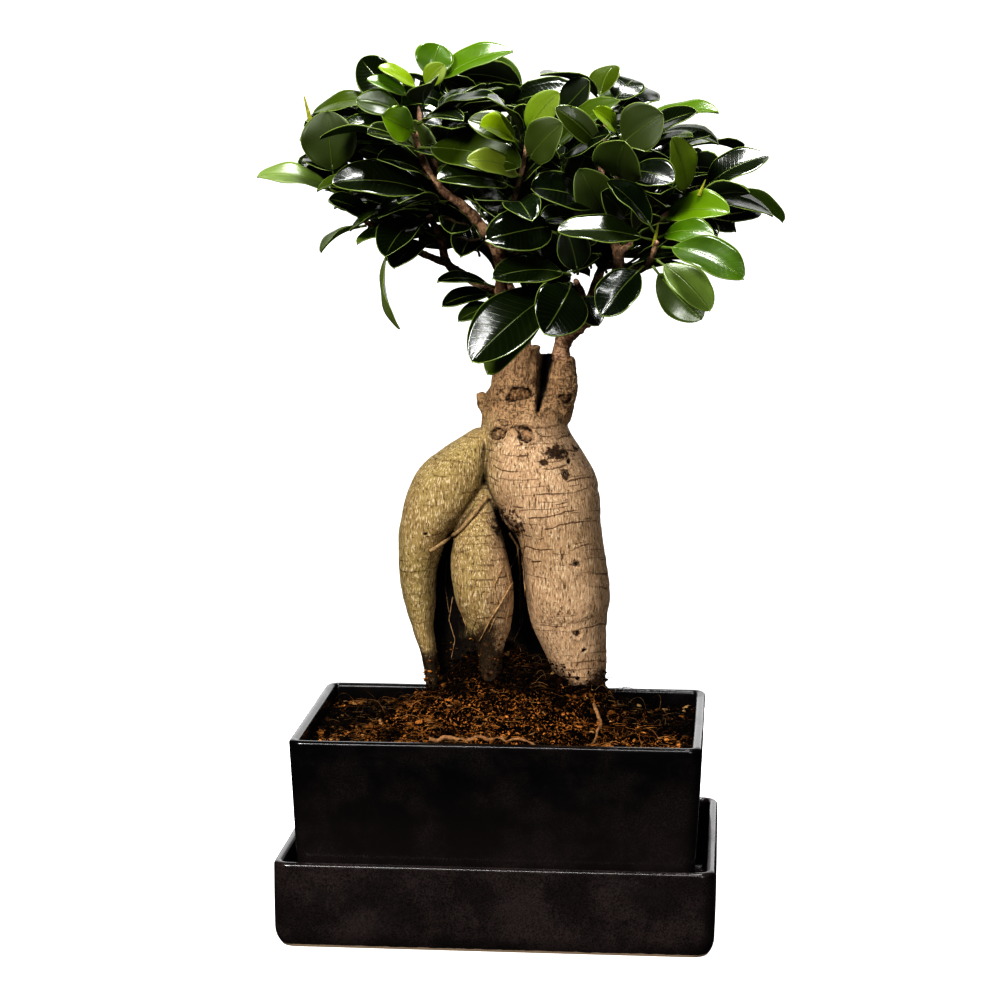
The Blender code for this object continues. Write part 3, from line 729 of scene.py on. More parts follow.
class BONSAI_OT_tray(bpy.types.Operator):
    """Make the glazed drip tray"""

    bl_idname = "bonsai.tray"
    bl_label = "Drip tray"

    def execute(self, context):
        low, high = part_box("drip_tray")
        bm = open_box(low, high, TRAY_WALL, TRAY_FLOOR, TRAY_CORNER, 0)
        cut_across(bm, 2, [FOOT_RISE * share for share in FOOT_CUTS])
        for vert in bm.verts:
            outside_x = abs(vert.co.x) > high.x - TRAY_WALL + 0.3 * MM
            outside_y = abs(vert.co.y) > high.y - TRAY_WALL + 0.3 * MM
            inset = FOOT_INSET * max(0, 1 - vert.co.z / FOOT_RISE) ** 2
            if outside_x or outside_y:
                vert.co.x -= math.copysign(inset, vert.co.x)
                vert.co.y -= math.copysign(inset, vert.co.y)
        # The tray gets a painted reflection: lighter thin glaze stands in for the floor, which is kept
        # out of reflections.
        finish_ceramic(bm, "drip_tray", low, high, context.scene.bonsai_ceramic, seed=3.1,
                       bare_below=TRAY_BARE_RIM, veil=0.6)
        return {"FINISHED"}


class BONSAI_OT_pot(bpy.types.Operator):
    """Make the glazed pot with its drain holes"""

    bl_idname = "bonsai.pot"
    bl_label = "Pot"

    def execute(self, context):
        low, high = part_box("pot")
        bm = open_box(low, high, POT_WALL, POT_FLOOR, POT_CORNER, POT_TAPER)
        bm.normal_update()
        bevel(bm, sharp_edges_at(bm, low.z), LIP, 4)
        obj = finish_ceramic(bm, "pot", low, high, context.scene.bonsai_ceramic, seed=7.7,
                             bare_below=low.z, veil=0)
        drill(obj, low.z)
        return {"FINISHED"}


def drill(pot, foot_z):
    """Cut the drain holes through the pot's floor."""
    for x in (-DRAIN_SPACING / 2, DRAIN_SPACING / 2):
        bm = bmesh.new()
        bmesh.ops.create_cone(bm, cap_ends=True, segments=40, radius1=DRAIN_HOLE / 2,
                              radius2=DRAIN_HOLE / 2, depth=POT_FLOOR * 4)
        bmesh.ops.translate(bm, vec=(x, 0, foot_z), verts=bm.verts)
        tool = add_object("drill", mesh_of(bm, "drill"))
        hole = pot.modifiers.new("hole", "BOOLEAN")
        hole.solver = "EXACT"
        hole.object = tool
        cut = evaluated(pot)
        pot.modifiers.remove(hole)
        pot.data = cut
        bpy.data.objects.remove(tool)


# ---------------------------------------------------------------- swollen root
ROOT_VOXEL = 0.95 * MM
LIMB_SIDES = 40
LIMB_STEP = 3.0

# Each limb is a stack of ellipses in millimetres: height, middle in X and Y, half width and depth.
ROOT_LIMBS = {
    "left_leg": [
        (246, -9, 2, 6, 9), (238, -17, 2, 12, 14), (229, -24, 2, 17, 18), (218, -29, 2, 19, 20),
        (205, -34, 2, 17.5, 20), (190, -41, 2, 12.5, 18), (174, -43.5, 2, 9.5, 15),
        (160, -43, 2, 8, 12), (145, -41.5, 2, 5.5, 9), (130, -38, 2, 4.5, 7),
        (108, -35.5, 2, 3.5, 5), (86, -33, 2, 2.5, 3),
    ],
    "middle_leg": [
        (222, -8, 2, 5, 6), (208, -11, -4, 7, 8), (198, -12.5, -7, 11, 12),
        (184, -12, -9, 14.5, 14), (171, -10.4, -10, 15.5, 15), (159, -8.7, -10, 14, 14),
        (147, -7, -9, 10.5, 11), (137, -6.3, -9, 6.8, 8), (122, -6.2, -8, 5.5, 6),
        (104, -6.5, -7, 4.5, 5), (84, -7, -6, 3, 3),
    ],
    "right_leg": [
        (256, 11, 0, 17, 14), (245, 12, 0, 20.5, 19), (235, 14.5, 0, 24, 23),
        (222, 18, 0, 27.5, 26), (207, 22.5, 0, 25.5, 27), (193, 27.5, 0, 21.5, 26),
        (179, 30, 0, 21, 25), (163, 31.7, 0, 21, 24), (148, 32.4, 0, 18.6, 21),
        (135, 35.3, 0, 15.5, 18), (120, 38.5, 0, 12.5, 14), (100, 40, 0, 9, 10),
        (78, 41, 0, 5, 5),
    ],
    "neck": [
        (238, 9, 0, 20, 17), (249, 9.5, 0, 20.6, 16), (256, 10.5, 0, 20.8, 14.5),
        (264, 12, 2, 17, 11), (272, 16, 6, 11, 6), (283, 17, 6, 9, 5),
    ],
    "left_stub": [
        (250, 4, 1, 14.5, 13), (260, 3.4, 1, 13.2, 12), (269, 4.6, 1, 11.8, 11),
        (277, 6.2, 1, 10.8, 10), (288, 8, 1, 9.4, 9),
    ],
    "right_stub": [
        (250, 24, 2, 8.2, 10), (260, 26.2, 2, 8.8, 9.5), (267, 27.6, 2, 8.8, 9),
        (274, 27.8, 2, 7.8, 8), (282, 28.2, 2, 6.6, 7.5),
    ],
    "back_leg": [
        (240, 4, 6, 16, 12), (222, -3, 11, 24, 14), (203, -5.5, 14, 26.5, 14),
        (182, -9.5, 17, 30.5, 13), (160, -10, 18, 32, 12), (138, -7.5, 18, 31.5, 12),
        (118, -6, 18, 30, 12), (96, -5, 18, 23, 9), (80, 0, 17, 11, 5),
    ],
    "snag": [(252, -6, 0, 4, 4), (258, -9.5, 1, 3, 3), (264.5, -13, 1, 1.6, 1.6)],
}

# Scars on the front, in millimetres: X, Z, half width, half height and kind.
SCARS = [
    (7.2, 265, 7, 4.2, "ring"), (12.7, 246.7, 4.4, 4.0, "ring"), (-1.8, 246.2, 4.0, 4.2, "ring"),
    (27, 237.5, 7.5, 3.2, "scab"), (31, 227, 2.8, 2.2, "scab"), (21.5, 233, 3.0, 2.0, "scab"),
    (33, 233, 1.2, 1.2, "hole"), (31, 263, 3.6, 2.6, "ring"), (37.3, 183.3, 2.0, 1.9, "hole"),
    (38, 147.3, 2.6, 2.3, "hole"), (41, 139, 1.2, 1.0, "hole"), (-38, 196, 0.9, 0.7, "hole"),
    (35, 253, 1.4, 1.8, "hole"), (-47, 226, 1.2, 1.0, "hole"),
]
# Dirt clings up to these heights, in millimetres: X and Z.
SOIL_LINE = [(-45, 136), (-30, 145), (-20, 150), (-5, 152), (8, 148), (16, 134), (35, 131),
             (50, 129)]
BACK_OF_ROOT = 14 * MM
BACK_SOIL_LINE = 126
CREASE_REACH = 30 * MM  # surface within this reach hides a place from the light
CREASE_RAYS = 5
CREASE_TILT = math.radians(52)  # between those rays and the skin's normal
NODULE = (3.2, 202.4, 7.5)  # a brown lump where the middle leg meets the right one
OLD_BARK_FOOT = 244 * MM  # above this height the bark is old and rough
LEGS_PART = 228 * MM  # below this height the root is split into legs
SLOT_FOOT = 256.5  # the slot between the stubs starts at this height, in millimetres


def smooth_stack(rings):
    """Rings every few millimetres on a smooth line through the given ones."""
    fine = []
    for index in range(len(rings) - 1):
        before = rings[max(index - 1, 0)]
        start, end = rings[index], rings[index + 1]
        after = rings[min(index + 2, len(rings) - 1)]
        count = max(1, round(abs(end[0] - start[0]) / LIMB_STEP))
        for step in range(count):
            t = step / count
            fine.append(tuple(
                0.5 * (2 * b + (c - a) * t + (2 * a - 5 * b + 4 * c - d) * t ** 2
                       + (3 * b - a - 3 * c + d) * t ** 3)
                for a, b, c, d in zip(before, start, end, after)))
    fine.append(rings[-1])
    return fine


def add_limb(bm, rings):
    """A closed tube through a stack of ellipses."""
    loops = []
    for z, x, y, half_width, half_depth in smooth_stack(rings):
        circle = bmesh.ops.create_circle(bm, cap_ends=False, radius=1, segments=LIMB_SIDES)
        bmesh.ops.scale(bm, vec=(half_width * MM, half_depth * MM, 1), verts=circle["verts"])
        bmesh.ops.translate(bm, vec=Vector((x, y, z)) * MM, verts=circle["verts"])
        loops.append(ring_edges(circle["verts"]))
    for upper, lower in zip(loops, loops[1:]):
        bmesh.ops.bridge_loops(bm, edges=upper + lower)
    for end in (loops[0], loops[-1]):
        bmesh.ops.contextual_create(bm, geom=end)


def grown_together():
    """All limbs fused into one skin of small even faces."""
    pile = Pile()
    for rings in ROOT_LIMBS.values():
        limb = bmesh.new()
        add_limb(limb, rings)
        bmesh.ops.recalc_face_normals(limb, faces=limb.faces)
        pile.add(limb)
    obj = add_object("limbs", mesh_of(pile.done(), "limbs"))
    remesh = obj.modifiers.new("grown_together", "REMESH")
    remesh.mode = "VOXEL"
    remesh.voxel_size = ROOT_VOXEL
    smooth = obj.modifiers.new("soft_joins", "SMOOTH")
    smooth.factor = 0.5
    smooth.iterations = 5
    skin = evaluated(obj)
    bpy.data.objects.remove(obj)
    return bmesh_of(skin)


def swell(place):
    """Slow swellings of the root."""
    return noise.fractal(place * 38, 0.9, 2.1, 3) * 0.8 * MM


def wrinkle(place):
    """Folds that run across a limb, deeper here and there."""
    drift = noise.noise(place * 45) * 2.2
    fold = noise.noise(Vector((place.x * 30, place.y * 30, place.z * 260 + drift)))
    where = max(0, noise.noise(place * 28 + Vector((5, 0, 0))) + 0.35)
    return -max(0, fold - 0.05) * 0.9 * MM * where


def old_bark_share(place):
    """1 on the rough stubs, 0 on the smooth swellings."""
    wander = noise.noise(place * 90) * 8 * MM
    return unit((place.z + wander - OLD_BARK_FOOT) / (10 * MM))


def scar_shape(place):
    """How a scar lifts the skin, how dark it makes it, and how much bare wood it shows."""
    lift, dark, wood = 0.0, 0.0, 0.0
    if place.y > 2 * MM:
        return lift, dark, wood
    fray = noise.fractal(place * 330, 0.7, 2.2, 3)
    warp = noise.noise(place * 170) + 0.5 * noise.noise(place * 95)
    for x, z, half_width, half_height, kind in SCARS:
        away = math.hypot((place.x / MM - x) / half_width, (place.z / MM - z) / half_height)
        if away > 2.6:
            continue
        if kind == "ring":  # a ragged collar round a hollow with bare wood in it
            away += 0.16 * fray + 0.75 * warp
            lift += 1.3 * MM * bell(away, 1.0, 0.22) - 1.3 * MM * bell(away, 0.66, 0.14)
            lift += 0.5 * MM * bell(away, 0, 0.4)
            dark = max(dark, 0.62 * bell(away, 0.70, 0.20), 0.40 * bell(away, 1.35, 0.15))
            wood = max(wood, 0.8 * bell(away, 0.25, 0.5))
        elif kind == "scab":  # a dark crust
            away += 0.45 * fray + 0.5 * warp
            lift += 0.5 * MM * bell(away, 0, 0.8) * (0.4 + fray)
            dark = max(dark, min(0.8, 1.1 * bell(away, 0, 0.95)))
        else:  # a pit with a low rim
            away += 0.3 * fray
            lift += 0.4 * MM * bell(away, 1.2, 0.25) - 1.6 * MM * bell(away, 0, 0.7)
            dark = max(dark, bell(away, 0, 0.85))
    x, z, radius = NODULE
    away = math.hypot(place.x / MM - x, place.z / MM - z) / radius
    if away < 1.6 and place.y < -4 * MM:
        lift += 1.6 * MM * max(0, 1 - away ** 2) + 0.7 * MM * fray * (away < 1)
        dark = max(dark, 0.7 * bell(away + 0.4 * fray, 0.9, 0.22),
                   0.62 * bell(away + 0.5 * fray, 0, 0.8))
    return lift, dark, wood


def bell(x, middle, spread):
    """1 at the middle, falling off smoothly on both sides."""
    return math.exp(-((x - middle) / spread) ** 2)


def slot_depth(place):
    """How far the slot between the two cut stubs is open at a place: 0 to 1."""
    rise = place.z / MM - SLOT_FOOT
    if rise < 0 or place.y > 6 * MM:
        return 0.0
    middle = 16.9 + 0.155 * rise
    half_width = 0.8 + 0.085 * rise
    return unit(2.2 - 1.6 * abs(place.x / MM - middle) / half_width)


def crease_shade_shares(bm):
    """Painted shade: how deep in a crease each vertex lies, 0 in the open and 1 deep in a crease and
    low at the back between the legs.
    """
    bm.normal_update()
    tree = BVHTree.FromBMesh(bm)
    shares = []
    for vert in bm.verts:
        side = vert.normal.orthogonal().normalized()
        blocked = 0
        for turn in range(CREASE_RAYS):
            around = Matrix.Rotation(math.tau * turn / CREASE_RAYS, 3, vert.normal) @ side
            way = vert.normal * math.cos(CREASE_TILT) + around * math.sin(CREASE_TILT)
            hit = tree.ray_cast(vert.co + vert.normal * 0.3 * MM, way, CREASE_REACH)[3]
            if hit is not None:
                blocked += 1 - hit / CREASE_REACH
        behind = unit((vert.co.y - 3 * MM) / (5 * MM))
        inner = behind * unit((LEGS_PART - vert.co.z) / (20 * MM))
        shares.append(unit(blocked / CREASE_RAYS * 2.1 - 0.42 + 0.8 * inner * (blocked > 0.4)))
    return shares


class BONSAI_OT_root(bpy.types.Operator):
    """Make the swollen root with its bark, scars and cut stubs"""

    bl_idname = "bonsai.root"
    bl_label = "Swollen root"

    def execute(self, context):
        bm = grown_together()
        marks = bm.verts.layers.float_vector.new("marks")
        shade = bm.verts.layers.float_vector.new("shade")
        bm.normal_update()
        moves = []
        for vert in bm.verts:
            place = vert.co
            old = old_bark_share(place)
            lift, dark, wood = scar_shape(place)
            slot = slot_depth(place)
            move = swell(place) + wrinkle(place) * (1 - old) + lift
            move += old * noise.fractal(place * 210, 0.8, 2.0, 3) * 0.9 * MM
            soil_line = between(SOIL_LINE, place.x / MM) + 13 * noise.noise(place * 55)
            if place.y > BACK_OF_ROOT:
                soil_line = min(soil_line, BACK_SOIL_LINE)
            wet = unit((soil_line * MM - place.z) / (14 * MM))
            into = Vector((0, 7 * MM * slot, 0))
            moves.append((vert, vert.normal * move + into))
            vert[marks] = (dark, wet, old)
            # The slot's depth is painted shade too: it darkens the bark's colour inside the slot.
            vert[shade] = (slot, wood, 0)
        shift(moves)
        # Painted shade from the creases round each vertex, kept with the slot's in the shade
        # attribute.
        for vert, crease_shade in zip(bm.verts, crease_shade_shares(bm)):
            slot, wood, _ = vert[shade]
            vert[shade] = (max(crease_shade, slot), wood, 0)
        finish = root_finish("root_bark", context.scene.bonsai_root)
        piece("root_bark_skin", bm, [finish], ["swollen_root"], 0)
        return {"FINISHED"}


# ---------------------------------------------------------------- twigs
# Places along the middle in millimetres, and the diameter at both ends.
BRANCHES = {
    "main_branch": ([(1, -3, 287), (0.5, -5, 296), (-1, -10, 311), (-1, -18, 332),
                     (-10, -24, 349), (-18, -28, 358), (-28, -32, 366), (-37, -36, 382),
                     (-40, -38, 393)], 7.6, 2.7),
    "right_graft": ([(27.5, 1, 281), (28.5, 0.5, 289), (37, -8, 299), (46, -14, 306),
                     (54, -25, 320), (57, -30, 335), (51, -30, 349), (48, -20, 370),
                     (50, 0, 404)], 9, 2.6),
    "back_left_branch": ([(9.5, 5, 286), (9, 8, 296), (-2, 28, 318), (-26, 52, 348),
                          (-45, 69, 371)], 6.5, 2.6),
    "left_branch": ([(-1, -10, 311), (-9, -3, 316), (-17, 1, 321), (-28, 0, 328),
                     (-31, -4, 340), (-36, -10, 352)], 6, 3),
    "left_twig": ([(-28, 0, 328), (-39, -4, 333), (-52, -9, 340), (-66, -14, 349),
                   (-79, -16, 362)], 3.6, 2),
    "right_shoot": ([(54, -25, 320), (64, -50, 328), (73, -71, 334), (77, -79, 344)], 4.2, 2.2),
    "centre_shoot": ([(37, -8, 299), (39, -30, 311), (41, -50, 318), (39, -66, 325)], 4.2, 2.4),
    "top_left_twig": ([(-28, -32, 366), (-34, -20, 384), (-41, -8, 402), (-38, 2, 416)], 3.4, 2),
    "centre_front_twig": ([(-1, -18, 332), (5, -38, 352), (12, -50, 374), (15, -50, 390)],
                          3.6, 2),
    "front_right_twig": ([(51, -30, 349), (56, -42, 366), (58, -50, 386)], 3.4, 2),
    "upper_right_branch": ([(57, -30, 335), (71, -31, 347), (86, -29, 359), (94, -17, 366)],
                           4, 2),
    "back_centre_branch": ([(-2, 28, 318), (4, 42, 340), (6, 57, 368), (3, 67, 396)], 4.6, 2.4),
    "back_right_branch": ([(37, -8, 299), (41, 14, 310), (52, 50, 342), (62, 75, 366)], 5.5, 2.6),
}
NODE_PITCH = 6.5 * MM  # from one leaf scar to the next


def metres(points):
    """Places given in millimetres, as vectors."""
    return [Vector(point) * MM for point in points]


def barked_rod(name, diameters, points, knobs):
    """A twig with leaf scars that stand out as uneven rings."""
    mesh, middle = rod(points, diameters, 6, 14)
    bm = bmesh_of(mesh)
    bmesh.ops.remove_doubles(bm, verts=bm.verts, dist=0.01 * MM)
    bmesh.ops.recalc_face_normals(bm, faces=bm.faces)
    run = lengths_along(middle)
    tree = KDTree(len(middle))
    for index, point in enumerate(middle):
        tree.insert(point, index)
    tree.balance()
    bm.normal_update()
    offset = sum(ord(letter) for letter in name)
    moves = []
    for vert in bm.verts:
        _, index, _ = tree.find(vert.co)
        phase = run[index] / NODE_PITCH + offset * 0.37
        ring = max(0, math.cos(phase * math.tau)) ** 6
        lump = noise.fractal(vert.co * 230, 0.8, 2.1, 3)
        thick = min(1, (vert.co - middle[index]).length / (3 * MM))
        moves.append((vert, vert.normal * knobs * (ring * 0.8 + lump * 0.9) * thick))
    shift(moves)
    return bm


class BONSAI_OT_twigs(bpy.types.Operator):
    """Make the grafted branches and their side twigs"""

    bl_idname = "bonsai.twigs"
    bl_label = "Twigs"

    def execute(self, context):
        settings = context.scene.bonsai_twigs
        finish = twig_finish("twig_bark", settings)
        for name, (points, start, end) in BRANCHES.items():
            bm = barked_rod(name, (start * MM, end * MM), metres(points), settings.knobs)
            piece(name + "_bark", bm, [finish], [name], 0)
        return {"FINISHED"}


# ---------------------------------------------------------------- soil
SOIL_EDGE_Z = 94 * MM
MOUND_RISE = 27 * MM
MOUND_LENGTH = 52 * MM
MOUND_DEPTH = 36 * MM
MOUND_X = 4 * MM
MOUND_Y = -2 * MM
HEAP_RISE = 16 * MM  # the soil is heaped higher between the legs
HEAP_LENGTH = 34 * MM
HEAP_DEPTH = 17 * MM
HEAP_X = -8 * MM
HEAP_Y = 6 * MM
BANK_RISE = 12 * MM  # and banked up against the right leg
BANK_RADIUS = 21 * MM
BANK_X = 44 * MM
BANK_Y = -9 * MM
SOIL_LUMPS = 4.2 * MM
SOIL_ROOM = 0.4 * MM
FIBRES_PER_TANGLE = 12
DRYNESS = (0, 0, 0.03, 0.06, 0.15, 0.45, 1)  # most crumbs are damp and dark


def pot_room(z):
    """Half the length and depth that the pot leaves for soil at a height."""
    high = POT_BOX[1]
    lean = POT_TAPER * (high.z - z) + POT_WALL + SOIL_ROOM
    return high.x - lean, high.y - lean


def soil_height(x, y):
    """The heaped earth, lumpy, and less so in a strip along the pot."""
    half_length, half_depth = pot_room(SOIL_EDGE_Z)
    edge = unit(6 * (1 - max(abs(x) / half_length, abs(y) / half_depth)))
    mound = math.exp(-((x - MOUND_X) / MOUND_LENGTH) ** 2 - ((y - MOUND_Y) / MOUND_DEPTH) ** 2)
    heap = math.exp(-((x - HEAP_X) / HEAP_LENGTH) ** 2 - ((y - HEAP_Y) / HEAP_DEPTH) ** 2)
    lumps = noise.fractal(Vector((x, y, 0)) * 85, 0.75, 2.2, 5)
    bank = math.exp(-((x - BANK_X) ** 2 + (y - BANK_Y) ** 2) / BANK_RADIUS ** 2)
    level = SOIL_EDGE_Z + MOUND_RISE * mound + HEAP_RISE * heap + BANK_RISE * bank
    return level + SOIL_LUMPS * lumps * (0.4 + 0.6 * edge)


def round_off(x, y, half_length, half_depth, radius):
    """Pull a point that lies in a sharp corner onto the corner's arc."""
    over_x = abs(x) - (half_length - radius)
    over_y = abs(y) - (half_depth - radius)
    reach = math.hypot(over_x, over_y)
    if over_x > 0 and over_y > 0 and reach > radius:
        x = math.copysign(half_length - radius + over_x * radius / reach, x)
        y = math.copysign(half_depth - radius + over_y * radius / reach, y)
    return x, y


def surface_of(name):
    """The finished surface of a piece, for laying things on it."""
    bpy.context.view_layer.update()
    return BVHTree.FromObject(bpy.data.objects[name], bpy.context.evaluated_depsgraph_get())


def soil_spot(rng, root, margin):
    """A random place on the soil that the root leaves free, a margin away from the pot."""
    half_length, half_depth = pot_room(SOIL_EDGE_Z)
    while True:
        x = rng.uniform(-1, 1) * (half_length - margin)
        y = rng.uniform(-1, 1) * (half_depth - margin)
        place = Vector((x, y, soil_height(x, y)))
        near = root.find_nearest(place, 60 * MM)
        if near[0] is None or (place - near[0]).dot(near[1]) > 0:
            return place


class BONSAI_OT_soil(bpy.types.Operator):
    """Make the heaped soil with its crumbs, chips and fibres"""

    bl_idname = "bonsai.soil"
    bl_label = "Soil"

    def execute(self, context):
        settings = context.scene.bonsai_soil
        bm = bmesh.new()
        bmesh.ops.create_grid(bm, x_segments=130, y_segments=84, size=1)
        half_length, half_depth = pot_room(SOIL_EDGE_Z)
        corner = POT_CORNER - POT_WALL + SOIL_ROOM
        for vert in bm.verts:
            x, y = round_off(vert.co.x * half_length, vert.co.y * half_depth, half_length,
                             half_depth, corner)
            vert.co = (x, y, soil_height(x, y))
        deep = bmesh.ops.extrude_face_region(bm, geom=bm.faces[:])
        bottom_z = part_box("soil")[0].z
        low_length, low_depth = pot_room(bottom_z)
        for vert in verts_of(deep):
            vert.co.x *= low_length / half_length
            vert.co.y *= low_depth / half_depth
            vert.co.z = bottom_z
        under = [face for face in bm.faces if all(v.co.z < bottom_z + MM for v in face.verts)]
        bmesh.ops.dissolve_faces(bm, faces=under)
        bmesh.ops.recalc_face_normals(bm, faces=bm.faces)
        piece("earth", bm, [earth_finish("earth", settings)], ["soil"], 0)
        root = surface_of("root_bark_skin")
        rng = random.Random(11)
        piece("crumbs", self.crumbs(rng, root, settings),
              [crumb_finish("crumbs", settings)], (), 0)
        piece("fibres", self.fibres(rng, root, settings.fibres),
              [crumb_finish("fibre_skin", settings)], (), 0)
        return {"FINISHED"}

    def crumbs(self, rng, root, settings):
        """Angular crumbs, most of them small, dark and half sunk."""
        pile = Pile(40, ["crumb"])
        for _ in range(settings.crumbs):
            place = soil_spot(rng, root, 1.5 * MM)
            size = 0.26 * MM + rng.random() ** 4 * 1.3 * MM
            place.z += size * rng.uniform(0.0, 0.6)
            add_crumb(pile.next(), rng, place, size, rng.choice(DRYNESS))
        skin = bpy.data.objects["root_bark_skin"].data.vertices
        for _ in range(settings.clinging):
            place = stuck_place(rng, skin)
            size = 0.22 * MM + rng.random() ** 3 * 0.7 * MM
            add_crumb(pile.next(), rng, place, size, rng.random() ** 2)
        return pile.done()

    def fibres(self, rng, root, count):
        """Fine roots that lie in tangles on the soil, a few of them sticking up."""
        pile = Pile(40, ["crumb"])
        tangle = None
        for index in range(count):
            if index % FIBRES_PER_TANGLE == 0:
                tangle = soil_spot(rng, root, 12 * MM)
            place = tangle + Vector((rng.gauss(0, 5), rng.gauss(0, 3), 0)) * MM
            half_length, half_depth = pot_room(SOIL_EDGE_Z)
            if abs(place.x) > half_length - 8 * MM or abs(place.y) > half_depth - 8 * MM:
                continue
            place.z = soil_height(place.x, place.y) + 0.5 * MM
            near = math.exp(-(place.x / (65 * MM)) ** 2 - (place.y / (45 * MM)) ** 2)
            if rng.random() > 0.4 + near:
                continue
            heading = rng.uniform(0, math.tau)
            bend = rng.uniform(-0.55, 0.55)
            rise = rng.uniform(-0.1, 0.5) if rng.random() < 0.8 else rng.uniform(0.4, 1.2)
            stride = rng.uniform(0.5, 1.4) * MM * rng.choice((1, 1, 1, 2.0))
            radius = rng.uniform(0.11, 0.26) * MM
            add_fibre(pile.next(), rng, place, heading, bend, rise, stride, radius)
        return pile.done()


def stuck_place(rng, skin):
    """A random place on the foot of the root, where earth sticks to the bark."""
    while True:
        place = rng.choice(skin).co
        line = between(SOIL_LINE, place.x / MM) + 10 * noise.noise(place * 60)
        ground = soil_height(place.x, place.y)
        if ground < place.z < line * MM and rng.random() > (place.z - ground) / (26 * MM):
            return place.copy()


def add_crumb(bm, rng, place, size, dry):
    """A lump with uneven corners."""
    layer = bm.verts.layers.float_vector["crumb"]
    pale = 1.0 if rng.random() < 0.04 else 0.0
    stretch = Vector((rng.uniform(0.7, 2.4), rng.uniform(0.5, 1.2), rng.uniform(0.3, 0.9)))
    turn = Matrix.Rotation(rng.uniform(0, math.tau), 4, UP)
    turn = turn @ Matrix.Rotation(rng.uniform(-0.8, 0.8), 4, "X")
    matrix = Matrix.Translation(place) @ turn @ Matrix.Diagonal((*stretch, 1))
    made = bmesh.ops.create_icosphere(bm, subdivisions=1, radius=size, matrix=matrix)
    for vert in made["verts"]:
        vert.co += Vector([rng.uniform(-0.38, 0.38) * size for _ in range(3)])
        vert[layer] = (dry, pale, 0)


def add_fibre(bm, rng, place, heading, bend, rise, stride, radius):
    """A thin three-sided root, drawn out step by step."""
    ring = bmesh.ops.create_circle(bm, cap_ends=True, radius=radius, segments=3)
    verts = ring["verts"]
    fibre = list(verts)
    bmesh.ops.rotate(bm, verts=verts, matrix=Matrix.Rotation(heading, 3, UP)
                     @ Matrix.Rotation(math.pi / 2, 3, "Y"))
    bmesh.ops.translate(bm, vec=place, verts=verts)
    edges = ring_edges(verts)
    for step in range(7):
        edges, verts = draw_out(bm, edges)
        heading += bend + rng.uniform(-0.2, 0.2)
        climb = rise * math.cos(step / 6 * math.pi)
        way = Vector((math.cos(heading), math.sin(heading), climb)) * stride
        fibre += verts
        middle = sum((v.co for v in verts), Vector()) / 3
        for vert in verts:
            vert.co = middle + (vert.co - middle) * 0.9 + way
    bmesh.ops.contextual_create(bm, geom=edges)
    layer = bm.verts.layers.float_vector["crumb"]
    dryness = (rng.uniform(0.35, 1), rng.random() ** 3, 0)
    for vert in fibre:
        vert[layer] = dryness


# ---------------------------------------------------------------- root strands
# Strands laid over the root or the soil: places in X and Z or X and Y, and diameter.
LOOSE_ROOTS = {
    "loose_root_front": (
        [(-33, -47), (-24, -44), (-15, -46), (-4, -47), (8, -51), (20, -54)], 2.6),
    "loose_root_right": ([(46, -22), (50, -30), (48, -40), (44, -47)], 2.0),
}
AERIAL_ROOT = [(-8, 214), (-14, 206), (-20, 199), (-28, 192), (-36, 187)]
FINE_ROOTS = [
    ([(2, 194), (6, 187), (7, 173), (7, 160), (7, 147)], 1.2),
    ([(5, 172), (0, 163), (-5, 155), (-11, 143)], 1.0),
    ([(7, 186), (3, 176), (5, 166), (2, 152)], 0.6),
    ([(9, 200), (11, 192), (9, 182), (10, 170)], 0.7),
    ([(8, 178), (11, 168), (10, 156), (13, 144)], 0.9),
    ([(6, 165), (9, 156), (8, 147), (4, 138)], 0.7),
    ([(1, 182), (-3, 172), (-1, 160), (-6, 148)], 0.6),
    ([(-12, 176), (-14, 166), (-12, 156), (-15, 147)], 0.6),
    ([(-20, 172), (-21, 160), (-18, 150), (-20, 141)], 0.7),
    ([(-33, 187), (-30, 178), (-31, 166), (-29, 152)], 0.7),
    ([(-27, 160), (-29, 148), (-26, 138), (-28, 128)], 0.6),
]


def lay_against(tree, places, radius, way, lift):
    """Lead a strand over a surface, just clear of it, by feeling for it along a direction."""
    count = (len(places) - 1) * 4
    side = way.orthogonal().normalized() * radius
    points = []
    for index in range(count + 1):
        along = index / count * (len(places) - 1)
        low = min(int(along), len(places) - 2)
        start = places[low].lerp(places[low + 1], along - low)
        feelers = [Matrix.Rotation(math.tau * turn / 6, 3, way) @ side for turn in range(6)]
        reach = [tree.ray_cast(start + feeler, way)[3] for feeler in feelers]
        depth = min(distance for distance in reach if distance is not None)
        points.append(start + way * (depth - radius * lift))
    return points


def strand(points, diameters, seed):
    """A root strand with a slightly uneven skin."""
    bm = bmesh_of(rod(points, diameters, 3, 3)[0])
    bmesh.ops.remove_doubles(bm, verts=bm.verts, dist=0.005 * MM)
    bmesh.ops.recalc_face_normals(bm, faces=bm.faces)
    bm.normal_update()
    start = Vector((seed, 0, 0))
    shift([(v, v.normal * noise.noise(v.co * 330 + start) * diameters[0] * 0.22)
           for v in bm.verts])
    return bm


